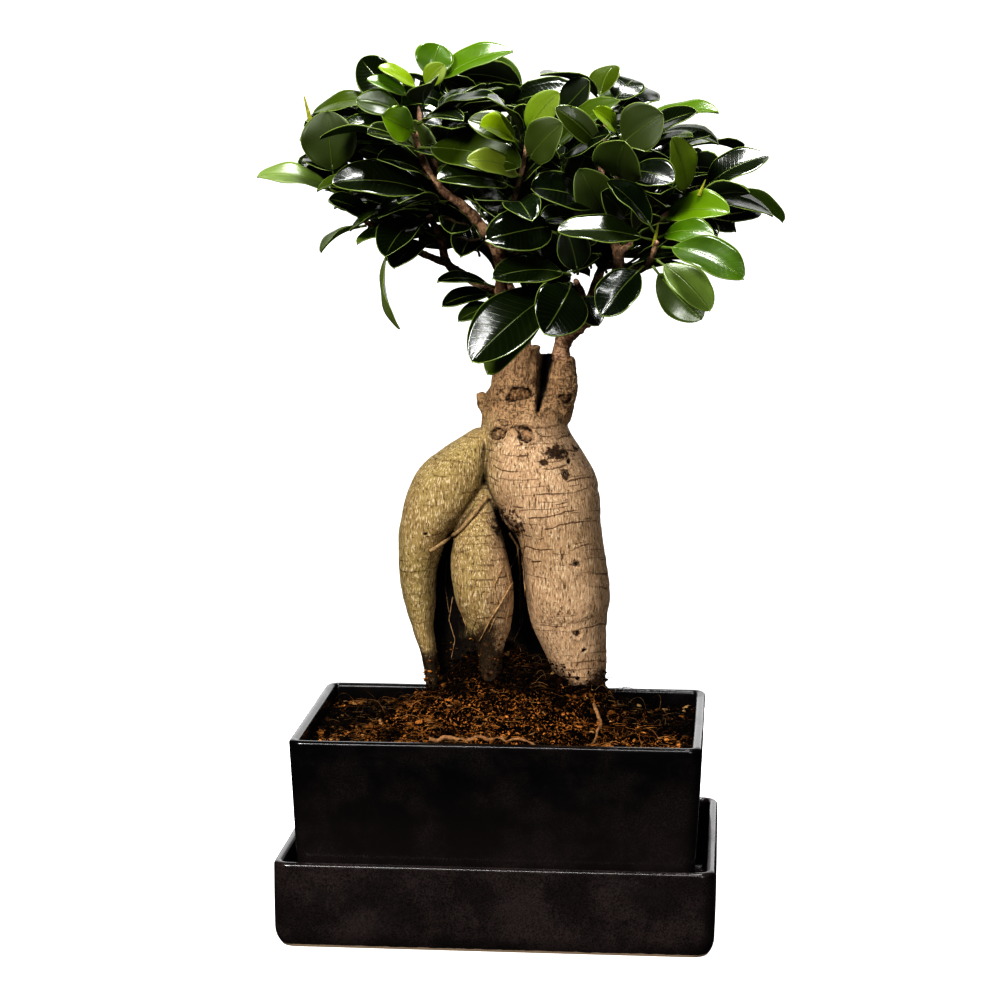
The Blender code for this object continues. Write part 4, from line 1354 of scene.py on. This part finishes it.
class BONSAI_OT_strands(bpy.types.Operator):
    """Make the loose root strands on the soil and on the swollen root"""

    bl_idname = "bonsai.strands"
    bl_label = "Root strands"

    def execute(self, context):
        root = surface_of("root_bark_skin")
        earth = surface_of("earth")
        rusty = strand_finish("rusty_root", (0.52, 0.28, 0.11), (0.22, 0.10, 0.035))
        pale = strand_finish("pale_root", (0.52, 0.36, 0.17), (0.25, 0.15, 0.06))
        above = 0.2
        for seed, (name, (places, width)) in enumerate(LOOSE_ROOTS.items()):
            starts = [Vector((x * MM, y * MM, above)) for x, y in places]
            points = lay_against(earth, starts, width / 2 * MM, Vector((0, 0, -1)), 0.5)
            bm = strand(points, (width * MM, width / 2 * MM), seed)
            piece(name + "_skin", bm, [rusty], [name], 0)
        front = Vector((0, 1, 0))
        starts = [Vector((x * MM, -above, z * MM)) for x, z in AERIAL_ROOT]
        points = lay_against(root, starts, 1 * MM, front, 0.8)
        piece("aerial_root_skin", strand(points, (2.0 * MM, 1.8 * MM), 5), [pale],
              ["aerial_root"], 0)
        pile = Pile()
        for seed, (places, width) in enumerate(FINE_ROOTS):
            starts = [Vector((x * MM, -above, z * MM)) for x, z in places]
            points = lay_against(root, starts, width / 2 * MM, front, 0.6)
            pile.add(strand(points, (width * MM, width * 0.6 * MM), seed + 10))
        light = strand_finish("light_root", (0.62, 0.42, 0.20), (0.28, 0.15, 0.06))
        piece("fine_roots", pile.done(), [light], (), 0)
        return {"FINISHED"}


# ---------------------------------------------------------------- leaves
LEAF_STALK = 0.13  # share of a solid leaf's length that is its stalk
STALK_RADIUS = 0.75 * MM
LEAF_ARCH = 0.10
LEAF_FOLD = 0.22
LEAF_FULLNESS = 0.62
# Leaves whose tone differs from their solid's.
LEAF_TONES = {
    "leaf_right_low": "pale", "leaf_flat_left": "olive", "leaf_back_right": "bright",
    "leaf_round_top": "bright", "leaf_bright_curved": "yellow", "leaf_centre_low": "olive",
    "leaf_long_right": "bright",
}
# Each tone's roughness, the share of light that comes through, and the colour of the underside.
TONES = {
    "dark": (0.14, 0.08, (0.012, 0.020, 0.004)),
    "olive": (0.24, 0.22, (0.060, 0.085, 0.012)),
    "bright": (0.20, 0.28, (0.12, 0.20, 0.02)),
    "pale": (0.30, 0.25, (0.16, 0.20, 0.06)),
    "yellow": (0.24, 0.30, (0.24, 0.32, 0.02)),
}

# Further leaves of the front, in millimetres: stalk, tip, width, which way the glossy side looks
# and the tone.
FRONT_LEAVES = [
    ((-37, -20, 414), (-27, -24, 425), 11, (0.2, -0.9, 0.4), "yellow"),
    ((-40, -15, 412), (-59, -22, 424), 12, (0.3, -0.5, 0.8), "yellow"),
    ((-44, -16, 409), (-64, -26, 418), 11, (-0.2, -0.7, 0.7), "bright"),
    ((-39, -40, 393), (-53, -55, 401), 17, (0, -1, 0.3), "bright"),
    ((-45, -25, 400), (-69, -30, 408), 14, (0, -0.8, 0.6), "olive"),
    ((14, -52, 392.5), (30.5, -62, 412), 15, (0.3, -0.8, 0.5), "yellow"),
    ((57, -42, 392), (46, -55, 404), 11, (0, -0.8, 0.6), "yellow"),
    ((50, -50, 385), (29, -65, 405), 13, (-0.5, -0.6, 0.6), "olive"),
    ((62, -30, 386), (94, -45, 403), 17, (0.1, -0.6, 0.8), "dark"),
    ((79, -40, 350), (106, -50, 355), 18, (0, -0.4, 0.9), "dark"),
    ((77, -62, 345), (103, -75, 347), 16, (0, -0.7, 0.7), "bright"),
    ((75, -79, 333), (98, -84, 309), 18, (0.2, 0.6, -0.5), "pale"),
    ((40, -67, 328), (35, -76, 350), 16, (0.2, -1, 0.2), "dark"),
    ((40, -62, 318), (50, -72, 305), 14, (0.2, -0.9, 0.4), "dark"),
    ((-62, -14, 349), (-83, -26, 361), 14, (-0.2, -0.6, 0.8), "dark"),
    ((-46, -10, 341), (-69, -30, 340), 13, (-0.1, -0.3, 1), "pale"),
    ((10, -40, 357), (-8, -70, 363), 22, (0, -0.6, 0.8), "dark"),
    ((48, -40, 357), (18, -68, 368), 24, (0, -0.7, 0.7), "dark"),
    ((12, -50, 372), (-11, -76, 381), 15, (0.5, -0.6, 0.6), "pale"),
    ((28, -15, 401), (43, -27, 417), 17, (-0.2, -0.9, 0.3), "dark"),
    ((-38, -36, 384), (-60, -56, 393), 18, (0, -0.6, 0.8), "dark"),
    ((-30, -33, 368), (-56, -52, 381), 20, (0, -0.6, 0.8), "dark"),
    ((12, -52, 388), (-12, -60, 399), 15, (0.1, -0.8, 0.5), "olive"),
    ((50, -30, 350), (22, -54, 352), 22, (0, -0.6, 0.8), "dark"),
    ((60, -50, 375), (84, -66, 371), 20, (0, -0.7, 0.7), "dark"),
    ((30, -46, 380), (54, -60, 393), 19, (0, -0.7, 0.7), "dark"),
    ((52, -40, 350), (40, -62, 377), 20, (0, -0.9, 0.4), "olive"),
    ((60, -38, 352), (50, -58, 366), 16, (0.2, -0.9, 0.3), "dark"),
    ((-4, -14, 318), (-30, -30, 322), 12, (0, -0.5, 0.8), "dark"),
    ((-3, -12, 314), (-28, -28, 310), 11, (0, -0.6, 0.7), "dark"),
    ((-2, -14, 309), (-20, -30, 303), 10, (0, -0.7, 0.6), "olive"),
]

# Buds, in millimetres: foot, tip and width.
BUDS = [
    ((-92, -20, 396), (-95.5, -20, 410), 2.8),
    ((75, -62, 341), (77, -62, 352), 2.6),
    ((95.5, -50, 364), (98.5, -50, 371.5), 2.2),
]


class Leaf:
    """Where a leaf is and how it is shaped."""

    def __init__(self, base, tip, width, faces, rng, tone="dark", detail=(14, 3)):
        self.base = base
        self.tip = tip
        self.width = width
        self.length = (tip - base).length
        self.along = (tip - base).normalized()
        self.out = (faces - self.along * faces.dot(self.along)).normalized()
        self.across = self.out.cross(self.along)
        self.tone = tone
        self.detail = detail
        self.chance = rng.random()
        self.age = rng.random() ** 3
        self.wave = rng.uniform(0.2, 1.0)
        self.phase = rng.uniform(0, math.tau)
        self.twist = rng.uniform(-0.22, 0.22)
        self.arch = LEAF_ARCH * rng.uniform(0.8, 1.35)
        self.fold = LEAF_FOLD * rng.uniform(0.5, 1.3)
        self.lean = rng.uniform(-0.03, 0.03)

    def half_width(self, share):
        """Half the width at a share of the length: a full oval with a short blunt point."""
        blade = (share - LEAF_STALK) / (1 - LEAF_STALK)
        oval = max(0, 1 - (2 * max(blade, 0) ** 1.1 - 1) ** 2) ** LEAF_FULLNESS
        return self.width / 2 * oval

    def at(self, share, side):
        """A point of the blade at a share of the length and a side from -1 to 1."""
        half = self.half_width(share)
        rise = self.arch * self.length * 4 * share * (1 - share)
        rise += self.fold * half * abs(side) ** 1.4
        # The rim ripples, and the two halves do so out of step.
        ripple = math.sin(share * 13 + self.phase + (2 if side > 0 else 0))
        rise += self.wave * 0.045 * half * ripple * side * side * 2
        turn = self.twist * share * side * half
        drift = self.lean * self.length * math.sin(share * math.pi)
        return (self.base + self.along * share * self.length
                + self.across * (side * half + drift) + self.out * (rise + turn))


def add_blade(bm, leaf, thickness):
    """The blade of a leaf: a shaped grid with thickness, a groove above and a rib below."""
    rows, columns = leaf.detail
    made = bmesh.ops.create_grid(bm, x_segments=rows, y_segments=2 * columns, size=1)
    blade = bm.verts.layers.float_vector["blade"]
    tone = bm.verts.layers.float_vector["tone"]
    start = LEAF_STALK * 0.93
    for vert in made["verts"]:
        turn = (vert.co.x + 1) / 2
        spread = (1 - math.cos(turn * math.pi)) / 2
        share = start + (1 - start) * (0.35 * turn + 0.65 * spread)
        side = vert.co.y
        side = math.copysign(abs(side) ** 0.85, side)
        middle = max(0, 1 - abs(side) * columns)
        vert.co = leaf.at(share, side) - leaf.out * middle * 0.25 * MM
        vert[blade] = (share, side, leaf.half_width(share) / MM)
        vert[tone] = (0, leaf.chance, leaf.age)
    faces = list({face for vert in made["verts"] for face in vert.link_faces})
    if faces[0].normal.length == 0:
        for face in faces:
            face.normal_update()
    if sum((face.normal.dot(leaf.out) for face in faces), 0.0) < 0:
        bmesh.ops.reverse_faces(bm, faces=faces)
    before = len(bm.verts)
    bmesh.ops.solidify(bm, geom=faces, thickness=thickness)
    bm.verts.ensure_lookup_table()
    for vert in bm.verts[before:]:
        side = vert[blade][1]
        middle = max(0, 1 - abs(side) * columns)
        vert.co -= leaf.out * middle * 0.5 * MM
        vert[tone] = (1, leaf.chance, leaf.age)


def add_stalk(bm, leaf, sides):
    """The stalk: a bent rod from the twig into the blade's midrib."""
    ring = bmesh.ops.create_circle(bm, cap_ends=True, radius=STALK_RADIUS, segments=sides)
    verts = ring["verts"]
    blade = bm.verts.layers.float_vector["blade"]
    tone = bm.verts.layers.float_vector["tone"]
    spin = leaf.along.to_track_quat("Z", "Y").to_matrix()
    bmesh.ops.rotate(bm, verts=verts, matrix=spin)
    bmesh.ops.translate(bm, vec=leaf.at(0, 0), verts=verts)
    stalk = list(verts)
    edges = ring_edges(verts)
    place = leaf.at(0, 0)
    for share in (0.07, 0.14, 0.20):
        edges, verts = draw_out(bm, edges)
        target = leaf.at(share, 0) - leaf.out * 0.35 * MM
        for vert in verts:
            vert.co += target - place
            vert.co = target + (vert.co - target) * 0.86
        stalk += verts
        place = target
    bmesh.ops.contextual_create(bm, geom=edges)
    for vert in stalk:
        vert[blade] = (0.1, 0, 1)
        vert[tone] = (0.3, leaf.chance, leaf.age)


def leaf_of_solid(node, rng, tone):
    """Read a leaf's line, width and glossy side from its solid."""
    bm = merged_copy(node)
    points = np.array([vert.co[:] for vert in bm.verts])
    bm.free()
    middle = points.mean(axis=0)
    axis = np.linalg.svd(points - middle)[2][0]
    run = (points - middle) @ axis
    run = (run - run.min()) / (run.max() - run.min())

    def spread(choice):
        chosen = points[choice] - points[choice].mean(axis=0)
        return np.abs(chosen - np.outer(chosen @ axis, axis)).max()

    if spread(run < 0.16) > spread(run > 0.84):
        run = 1 - run
    base = Vector(points[run < 0.02].mean(axis=0))
    tip = Vector(points[run > 0.98].mean(axis=0))
    along = (tip - base).normalized()
    belly = Vector(points[(run > 0.3) & (run < 0.75)].mean(axis=0)) - base
    out = (belly - along * belly.dot(along)).normalized()
    across = out.cross(along)
    width = 2 * np.abs((points - np.array(base)) @ np.array(across)).max()
    return Leaf(base, tip, float(width), out, rng, tone, (20, 5))


def leaf_sheet(leaf, share_count=4):
    """A coarse sheet of a leaf, for finding what it touches."""
    verts, faces = [], []
    for row in range(share_count + 1):
        share = row / share_count * 0.98 + 0.02
        for side in (-1, 0, 1):
            verts.append(leaf.at(share, side))
    for row in range(share_count):
        for column in range(2):
            a = row * 3 + column
            faces.append((a, a + 1, a + 4, a + 3))
    return BVHTree.FromPolygons(verts, faces), verts


# The crown's outline seen from the front, in millimetres: X with the highest and lowest Z.
CROWN_TOP = [(-122, 368), (-105, 392), (-88, 408), (-62, 420), (-38, 430), (0, 427), (30, 420),
             (54, 419), (76, 410), (100, 398), (125, 380), (140, 350)]
CROWN_FOOT = [(-122, 384), (-100, 366), (-80, 343), (-55, 338), (-34, 332), (-14, 324), (10, 312),
              (45, 306), (70, 318), (100, 330), (125, 350), (140, 356)]
CROWN_LEFT = -122 * MM
CROWN_RIGHT = 138 * MM
CROWN_DEPTH = 104 * MM
CROWN_MIDDLE = Vector((6, 0, 366)) * MM
FROM_THE_CAMERA = Vector((-0.088, 0.985, -0.15)).normalized()
LEAF_TURN = 2.4  # from one leaf of a shoot to the next, in radians round the shoot


def in_crown(place):
    """Whether a point lies inside the crown's outline, which closes towards front and back."""
    if abs(place.y) > CROWN_DEPTH:
        return False
    shrink = math.sqrt(max(0, 1 - (place.y / CROWN_DEPTH) ** 2)) * 0.75 + 0.25
    x = (place.x - CROWN_MIDDLE.x) / shrink + CROWN_MIDDLE.x
    top = between(CROWN_TOP, x / MM) * MM
    foot = between(CROWN_FOOT, x / MM) * MM
    middle = (top + foot) / 2
    z = (place.z - middle) / (0.45 + 0.55 * shrink) + middle
    return CROWN_LEFT < x < CROWN_RIGHT and foot < z < top


class BONSAI_OT_leaves(bpy.types.Operator):
    """Make the leaves of the crown"""

    bl_idname = "bonsai.leaves"
    bl_label = "Leaves"

    def execute(self, context):
        self.settings = context.scene.bonsai_leaves
        self.finishes = {
            tone: leaf_finish("leaf_" + tone, getattr(self.settings, tone), self.settings.rim,
                              *nature)
            for tone, nature in TONES.items()}
        self.rng = random.Random(5)
        self.taken = []
        slots = {s["node"]: s["material_slot"] for s in frame["record"]["subparts"]}
        for node in sorted(n for n in frame["nodes"] if n.startswith("leaf_")):
            tone = LEAF_TONES.get(node, slots[node].replace("leaf_", ""))
            leaf = leaf_of_solid(node, self.rng, tone)
            self.taken.append(leaf_sheet(leaf, 8)[0])
            self.make_piece(node + "_blade", [leaf], slots[node], [node])
        front = []
        for base, tip, width, faces, tone in FRONT_LEAVES:
            leaf = Leaf(Vector(base) * MM, Vector(tip) * MM, width * MM, Vector(faces), self.rng,
                        tone, (16, 4))
            front.append(leaf)
            self.taken.append(leaf_sheet(leaf, 8)[0])
        self.make_piece("front_leaves", front, "leaf_dark", [])
        self.make_buds()
        shown = list(self.taken)
        for node in ("main_branch", "right_graft", "left_branch"):
            bm = merged_copy(node)
            shown.append(BVHTree.FromBMesh(bm))
            bm.free()
        for name, (points, _, _) in BRANCHES.items():
            grown = self.fill_up(name, metres(points), shown)
            if grown:
                self.make_piece(name + "_leaves", grown, "leaf_dark", [])
        return {"FINISHED"}

    def make_piece(self, name, leaves, slot, stands_for):
        """One piece of one or more leaves, each with the finish of its tone."""
        tones = sorted({leaf.tone for leaf in leaves}, key=list(TONES).index)
        pile = Pile(6, ["blade", "tone"])
        for leaf in leaves:
            bm = pile.next()
            before = len(bm.faces)
            add_blade(bm, leaf, self.settings.thickness)
            add_stalk(bm, leaf, 8 if leaf.detail[0] > 14 else 5)
            bm.faces.ensure_lookup_table()
            for index in range(before, len(bm.faces)):
                bm.faces[index].material_index = tones.index(leaf.tone)
        piece(name, pile.done(), [self.finishes[tone] for tone in tones], stands_for, 0)

    def make_buds(self):
        """Closed pointed buds at the tips of three shoots."""
        pile = Pile(1)
        for foot, tip, width in BUDS:
            foot, tip = Vector(foot) * MM, Vector(tip) * MM
            way = tip - foot
            turn = way.to_track_quat("Z", "Y").to_matrix().to_4x4()
            matrix = Matrix.Translation((foot + tip) / 2) @ turn
            bmesh.ops.create_cone(pile.next(), cap_ends=True, segments=8, radius1=width / 2 * MM,
                                  radius2=width / 9 * MM, depth=way.length, matrix=matrix)
        piece("buds", pile.done(), [strand_finish("bud", (0.42, 0.40, 0.02), (0.20, 0.22, 0.01))],
              (), 40)

    def fill_up(self, name, points, shown):
        """Further leaves along a branch and on short side shoots, clear of each other."""
        rng = random.Random(sum(ord(letter) * 7 for letter in name))
        _, middle = rod(points, (MM, MM), 1, 10)
        run = lengths_along(middle)
        tries = round(self.settings.fill * run[-1] / (1000 * MM))
        grown = []
        spin = rng.uniform(0, math.tau)
        for index in range(tries):
            spin += LEAF_TURN
            share = 0.3 + 0.7 * (index + 0.5) / tries
            at = min(range(len(run)), key=lambda i: abs(run[i] - share * run[-1]))
            way = (middle[min(at + 1, len(middle) - 1)] - middle[max(at - 1, 0)]).normalized()
            side = Matrix.Rotation(spin, 3, way) @ way.orthogonal().normalized()
            leaf = self.try_leaf(rng, middle[at], way, side, shown)
            if leaf:
                grown.append(leaf)
        return grown

    def try_leaf(self, rng, start, way, side, shown):
        """A leaf on a side shoot of random reach, if it fits and hides nothing in front."""
        for reach in (rng.uniform(0, 34), rng.uniform(0, 20), rng.uniform(20, 50)):
            outward = (start - CROWN_MIDDLE).normalized()
            shoot = (side + way * 0.5 + outward * 0.4 + UP * 0.25).normalized()
            base = start + shoot * reach * MM
            heading = (side * 0.7 + outward * 0.6 + way * 0.3
                       + Vector([rng.uniform(-0.8, 0.8) for _ in range(3)]) * 0.8)
            heading.z *= 0.6
            length = rng.uniform(28, 46) * MM
            tip = base + heading.normalized() * length
            faces = UP * 0.9 + outward * 0.4 + Vector(
                [rng.uniform(-0.5, 0.5) for _ in range(3)])
            leaf = Leaf(base, tip, length * rng.uniform(0.44, 0.54), faces, rng,
                        self.pick_tone(rng, base), (9, 2))
            if not (in_crown(tip) and in_crown(base) and in_crown(leaf.at(0.5, 0))):
                continue
            tree, verts = leaf_sheet(leaf)
            if any(tree.overlap(other) for other in self.taken):
                continue
            if base.y < 20 * MM and self.hides(verts, shown):
                continue
            self.taken.append(tree)
            return leaf
        return None

    def hides(self, verts, shown):
        """Whether a leaf would stand before one of those listed."""
        return any(tree.ray_cast(vert, FROM_THE_CAMERA, 200 * MM)[0]
                   for vert in verts for tree in shown)

    def pick_tone(self, rng, place):
        """Fresh leaves are likelier near the top."""
        high = (place.z - CROWN_MIDDLE.z) / (60 * MM)
        draw = rng.random() + 0.30 * high
        if draw > 1.05:
            return "bright"
        if draw > 0.80:
            return "olive"
        return "dark"


# ---------------------------------------------------------------- stage
FLOOR_REACH = 0.46
TARGET = Vector((-2.4, 0, 211)) * MM
# Name, place, width and height, power in watts, and the height that the lamp aims at.
LAMPS = (
    ("key", (-0.70, -1.35, 1.20), (0.40, 0.40), 29, 0.20),
    ("fill", (0.9, -1.5, 0.50), (0.4, 0.6), 7, 0.20),
    ("overhead", (0.10, 0.10, 1.40), (0.40, 0.30), 22, 0.36),
    ("backdrop", (0, 1.5, 0.75), (2.6, 1.5), 16, 0.30),
    ("strip", (0.10, -1.45, 1.55), (1.5, 0.10), 18, 0.20),
)


class BONSAI_OT_stage(bpy.types.Operator):
    """Make the floor, the lights and the camera"""

    bl_idname = "bonsai.stage"
    bl_label = "Stage"

    def execute(self, context):
        settings = context.scene.bonsai_stage
        self.make_floor(settings)
        self.make_world(context)
        self.make_lamps()
        self.make_camera(context, settings)
        context.scene.view_settings.view_transform = "Standard"
        context.scene.view_settings.look = "High Contrast"
        return {"FINISHED"}

    def make_floor(self, settings):
        """A floor that glows white, a little less brightly near the pot."""
        bm = bmesh.new()
        bmesh.ops.create_grid(bm, x_segments=1, y_segments=1, size=FLOOR_REACH)
        mesh = mesh_of(bm, "floor")
        f = Finish("floor")
        away = f.node("ShaderNodeVectorMath", {"operation": "LENGTH"}, {0: f.place}, "Value")
        glow = f.mix(away.step(0.12, 0.40), (0.72, 0.72, 0.72), (1, 1, 1))
        f.dress(Base_Color=tuple(settings.floor), Roughness=0.9, Emission_Color=glow,
                Emission_Strength=1)
        mesh.materials.append(f.material)
        floor = add_object("floor", mesh)
        floor.visible_diffuse = False
        floor.visible_glossy = False

    def make_world(self, context):
        """White behind the plant, and a dim room all round it."""
        world = bpy.data.worlds.new("studio")
        world.use_nodes = True
        tree = world.node_tree
        path = tree.nodes.new("ShaderNodeLightPath")
        mix = tree.nodes.new("ShaderNodeMix")
        mix.data_type = "RGBA"
        mix.inputs[6].default_value = (0.012, 0.012, 0.013, 1)
        mix.inputs[7].default_value = (1, 1, 1, 1)
        tree.links.new(path.outputs["Is Camera Ray"], mix.inputs[0])
        tree.links.new(mix.outputs[2], tree.nodes["Background"].inputs[0])
        context.scene.world = world

    def make_lamps(self):
        """Soft boxes, and a strip that only draws highlights along lips and leaves."""
        for name, place, size, power, aim_z in LAMPS:
            lamp = bpy.data.lights.new(name, "AREA")
            lamp.shape = "RECTANGLE"
            lamp.size, lamp.size_y = size
            lamp.energy = power
            obj = add_object(name, lamp)
            obj.location = place
            aim = Vector((0, 0, aim_z)) - Vector(place)
            obj.rotation_euler = aim.to_track_quat("-Z", "Y").to_euler()
            obj.visible_camera = False
            if name == "strip":
                obj.visible_diffuse = False
                obj.visible_transmission = False

    def make_camera(self, context, settings):
        """A camera that looks at the target from the azimuth, elevation and distance set."""
        camera = bpy.data.cameras.new("camera")
        camera.lens = settings.lens
        camera.sensor_width = 36
        camera.clip_end = 100
        obj = add_object("camera", camera)
        a, e = settings.azimuth, settings.elevation
        back = Vector((math.sin(a) * math.cos(e), -math.cos(a) * math.cos(e), math.sin(e)))
        obj.location = TARGET + back * settings.distance
        obj.rotation_euler = (-back).to_track_quat("-Z", "Y").to_euler()
        context.scene.camera = obj


class BONSAI_PT_panel(bpy.types.Panel):
    """Lists the bonsai's operators"""

    bl_label = "Bonsai"
    bl_idname = "BONSAI_PT_panel"
    bl_space_type = "VIEW_3D"
    bl_region_type = "UI"
    bl_category = "Bonsai"

    def draw(self, context):
        for operator in OPERATORS:
            self.layout.operator(operator.bl_idname)


OPERATORS = (BONSAI_OT_tray, BONSAI_OT_pot, BONSAI_OT_root, BONSAI_OT_soil, BONSAI_OT_strands,
             BONSAI_OT_twigs, BONSAI_OT_leaves, BONSAI_OT_stage)
SETTINGS = {
    "bonsai_ceramic": CeramicSettings, "bonsai_soil": SoilSettings, "bonsai_root": RootSettings,
    "bonsai_twigs": TwigSettings, "bonsai_leaves": LeafSettings, "bonsai_stage": StageSettings,
}


def register():
    for group in SETTINGS.values():
        bpy.utils.register_class(group)
    for name, group in SETTINGS.items():
        setattr(bpy.types.Scene, name, PointerProperty(type=group))
    for operator in OPERATORS:
        bpy.utils.register_class(operator)
    bpy.utils.register_class(BONSAI_PT_panel)


def unregister():
    bpy.utils.unregister_class(BONSAI_PT_panel)
    for operator in reversed(OPERATORS):
        bpy.utils.unregister_class(operator)
    for name in SETTINGS:
        delattr(bpy.types.Scene, name)
    for group in SETTINGS.values():
        bpy.utils.unregister_class(group)


def main():
    register()
    for operator in OPERATORS:
        getattr(bpy.ops.bonsai, operator.bl_idname.split(".")[1])()


if __name__ == "__main__":
    main()
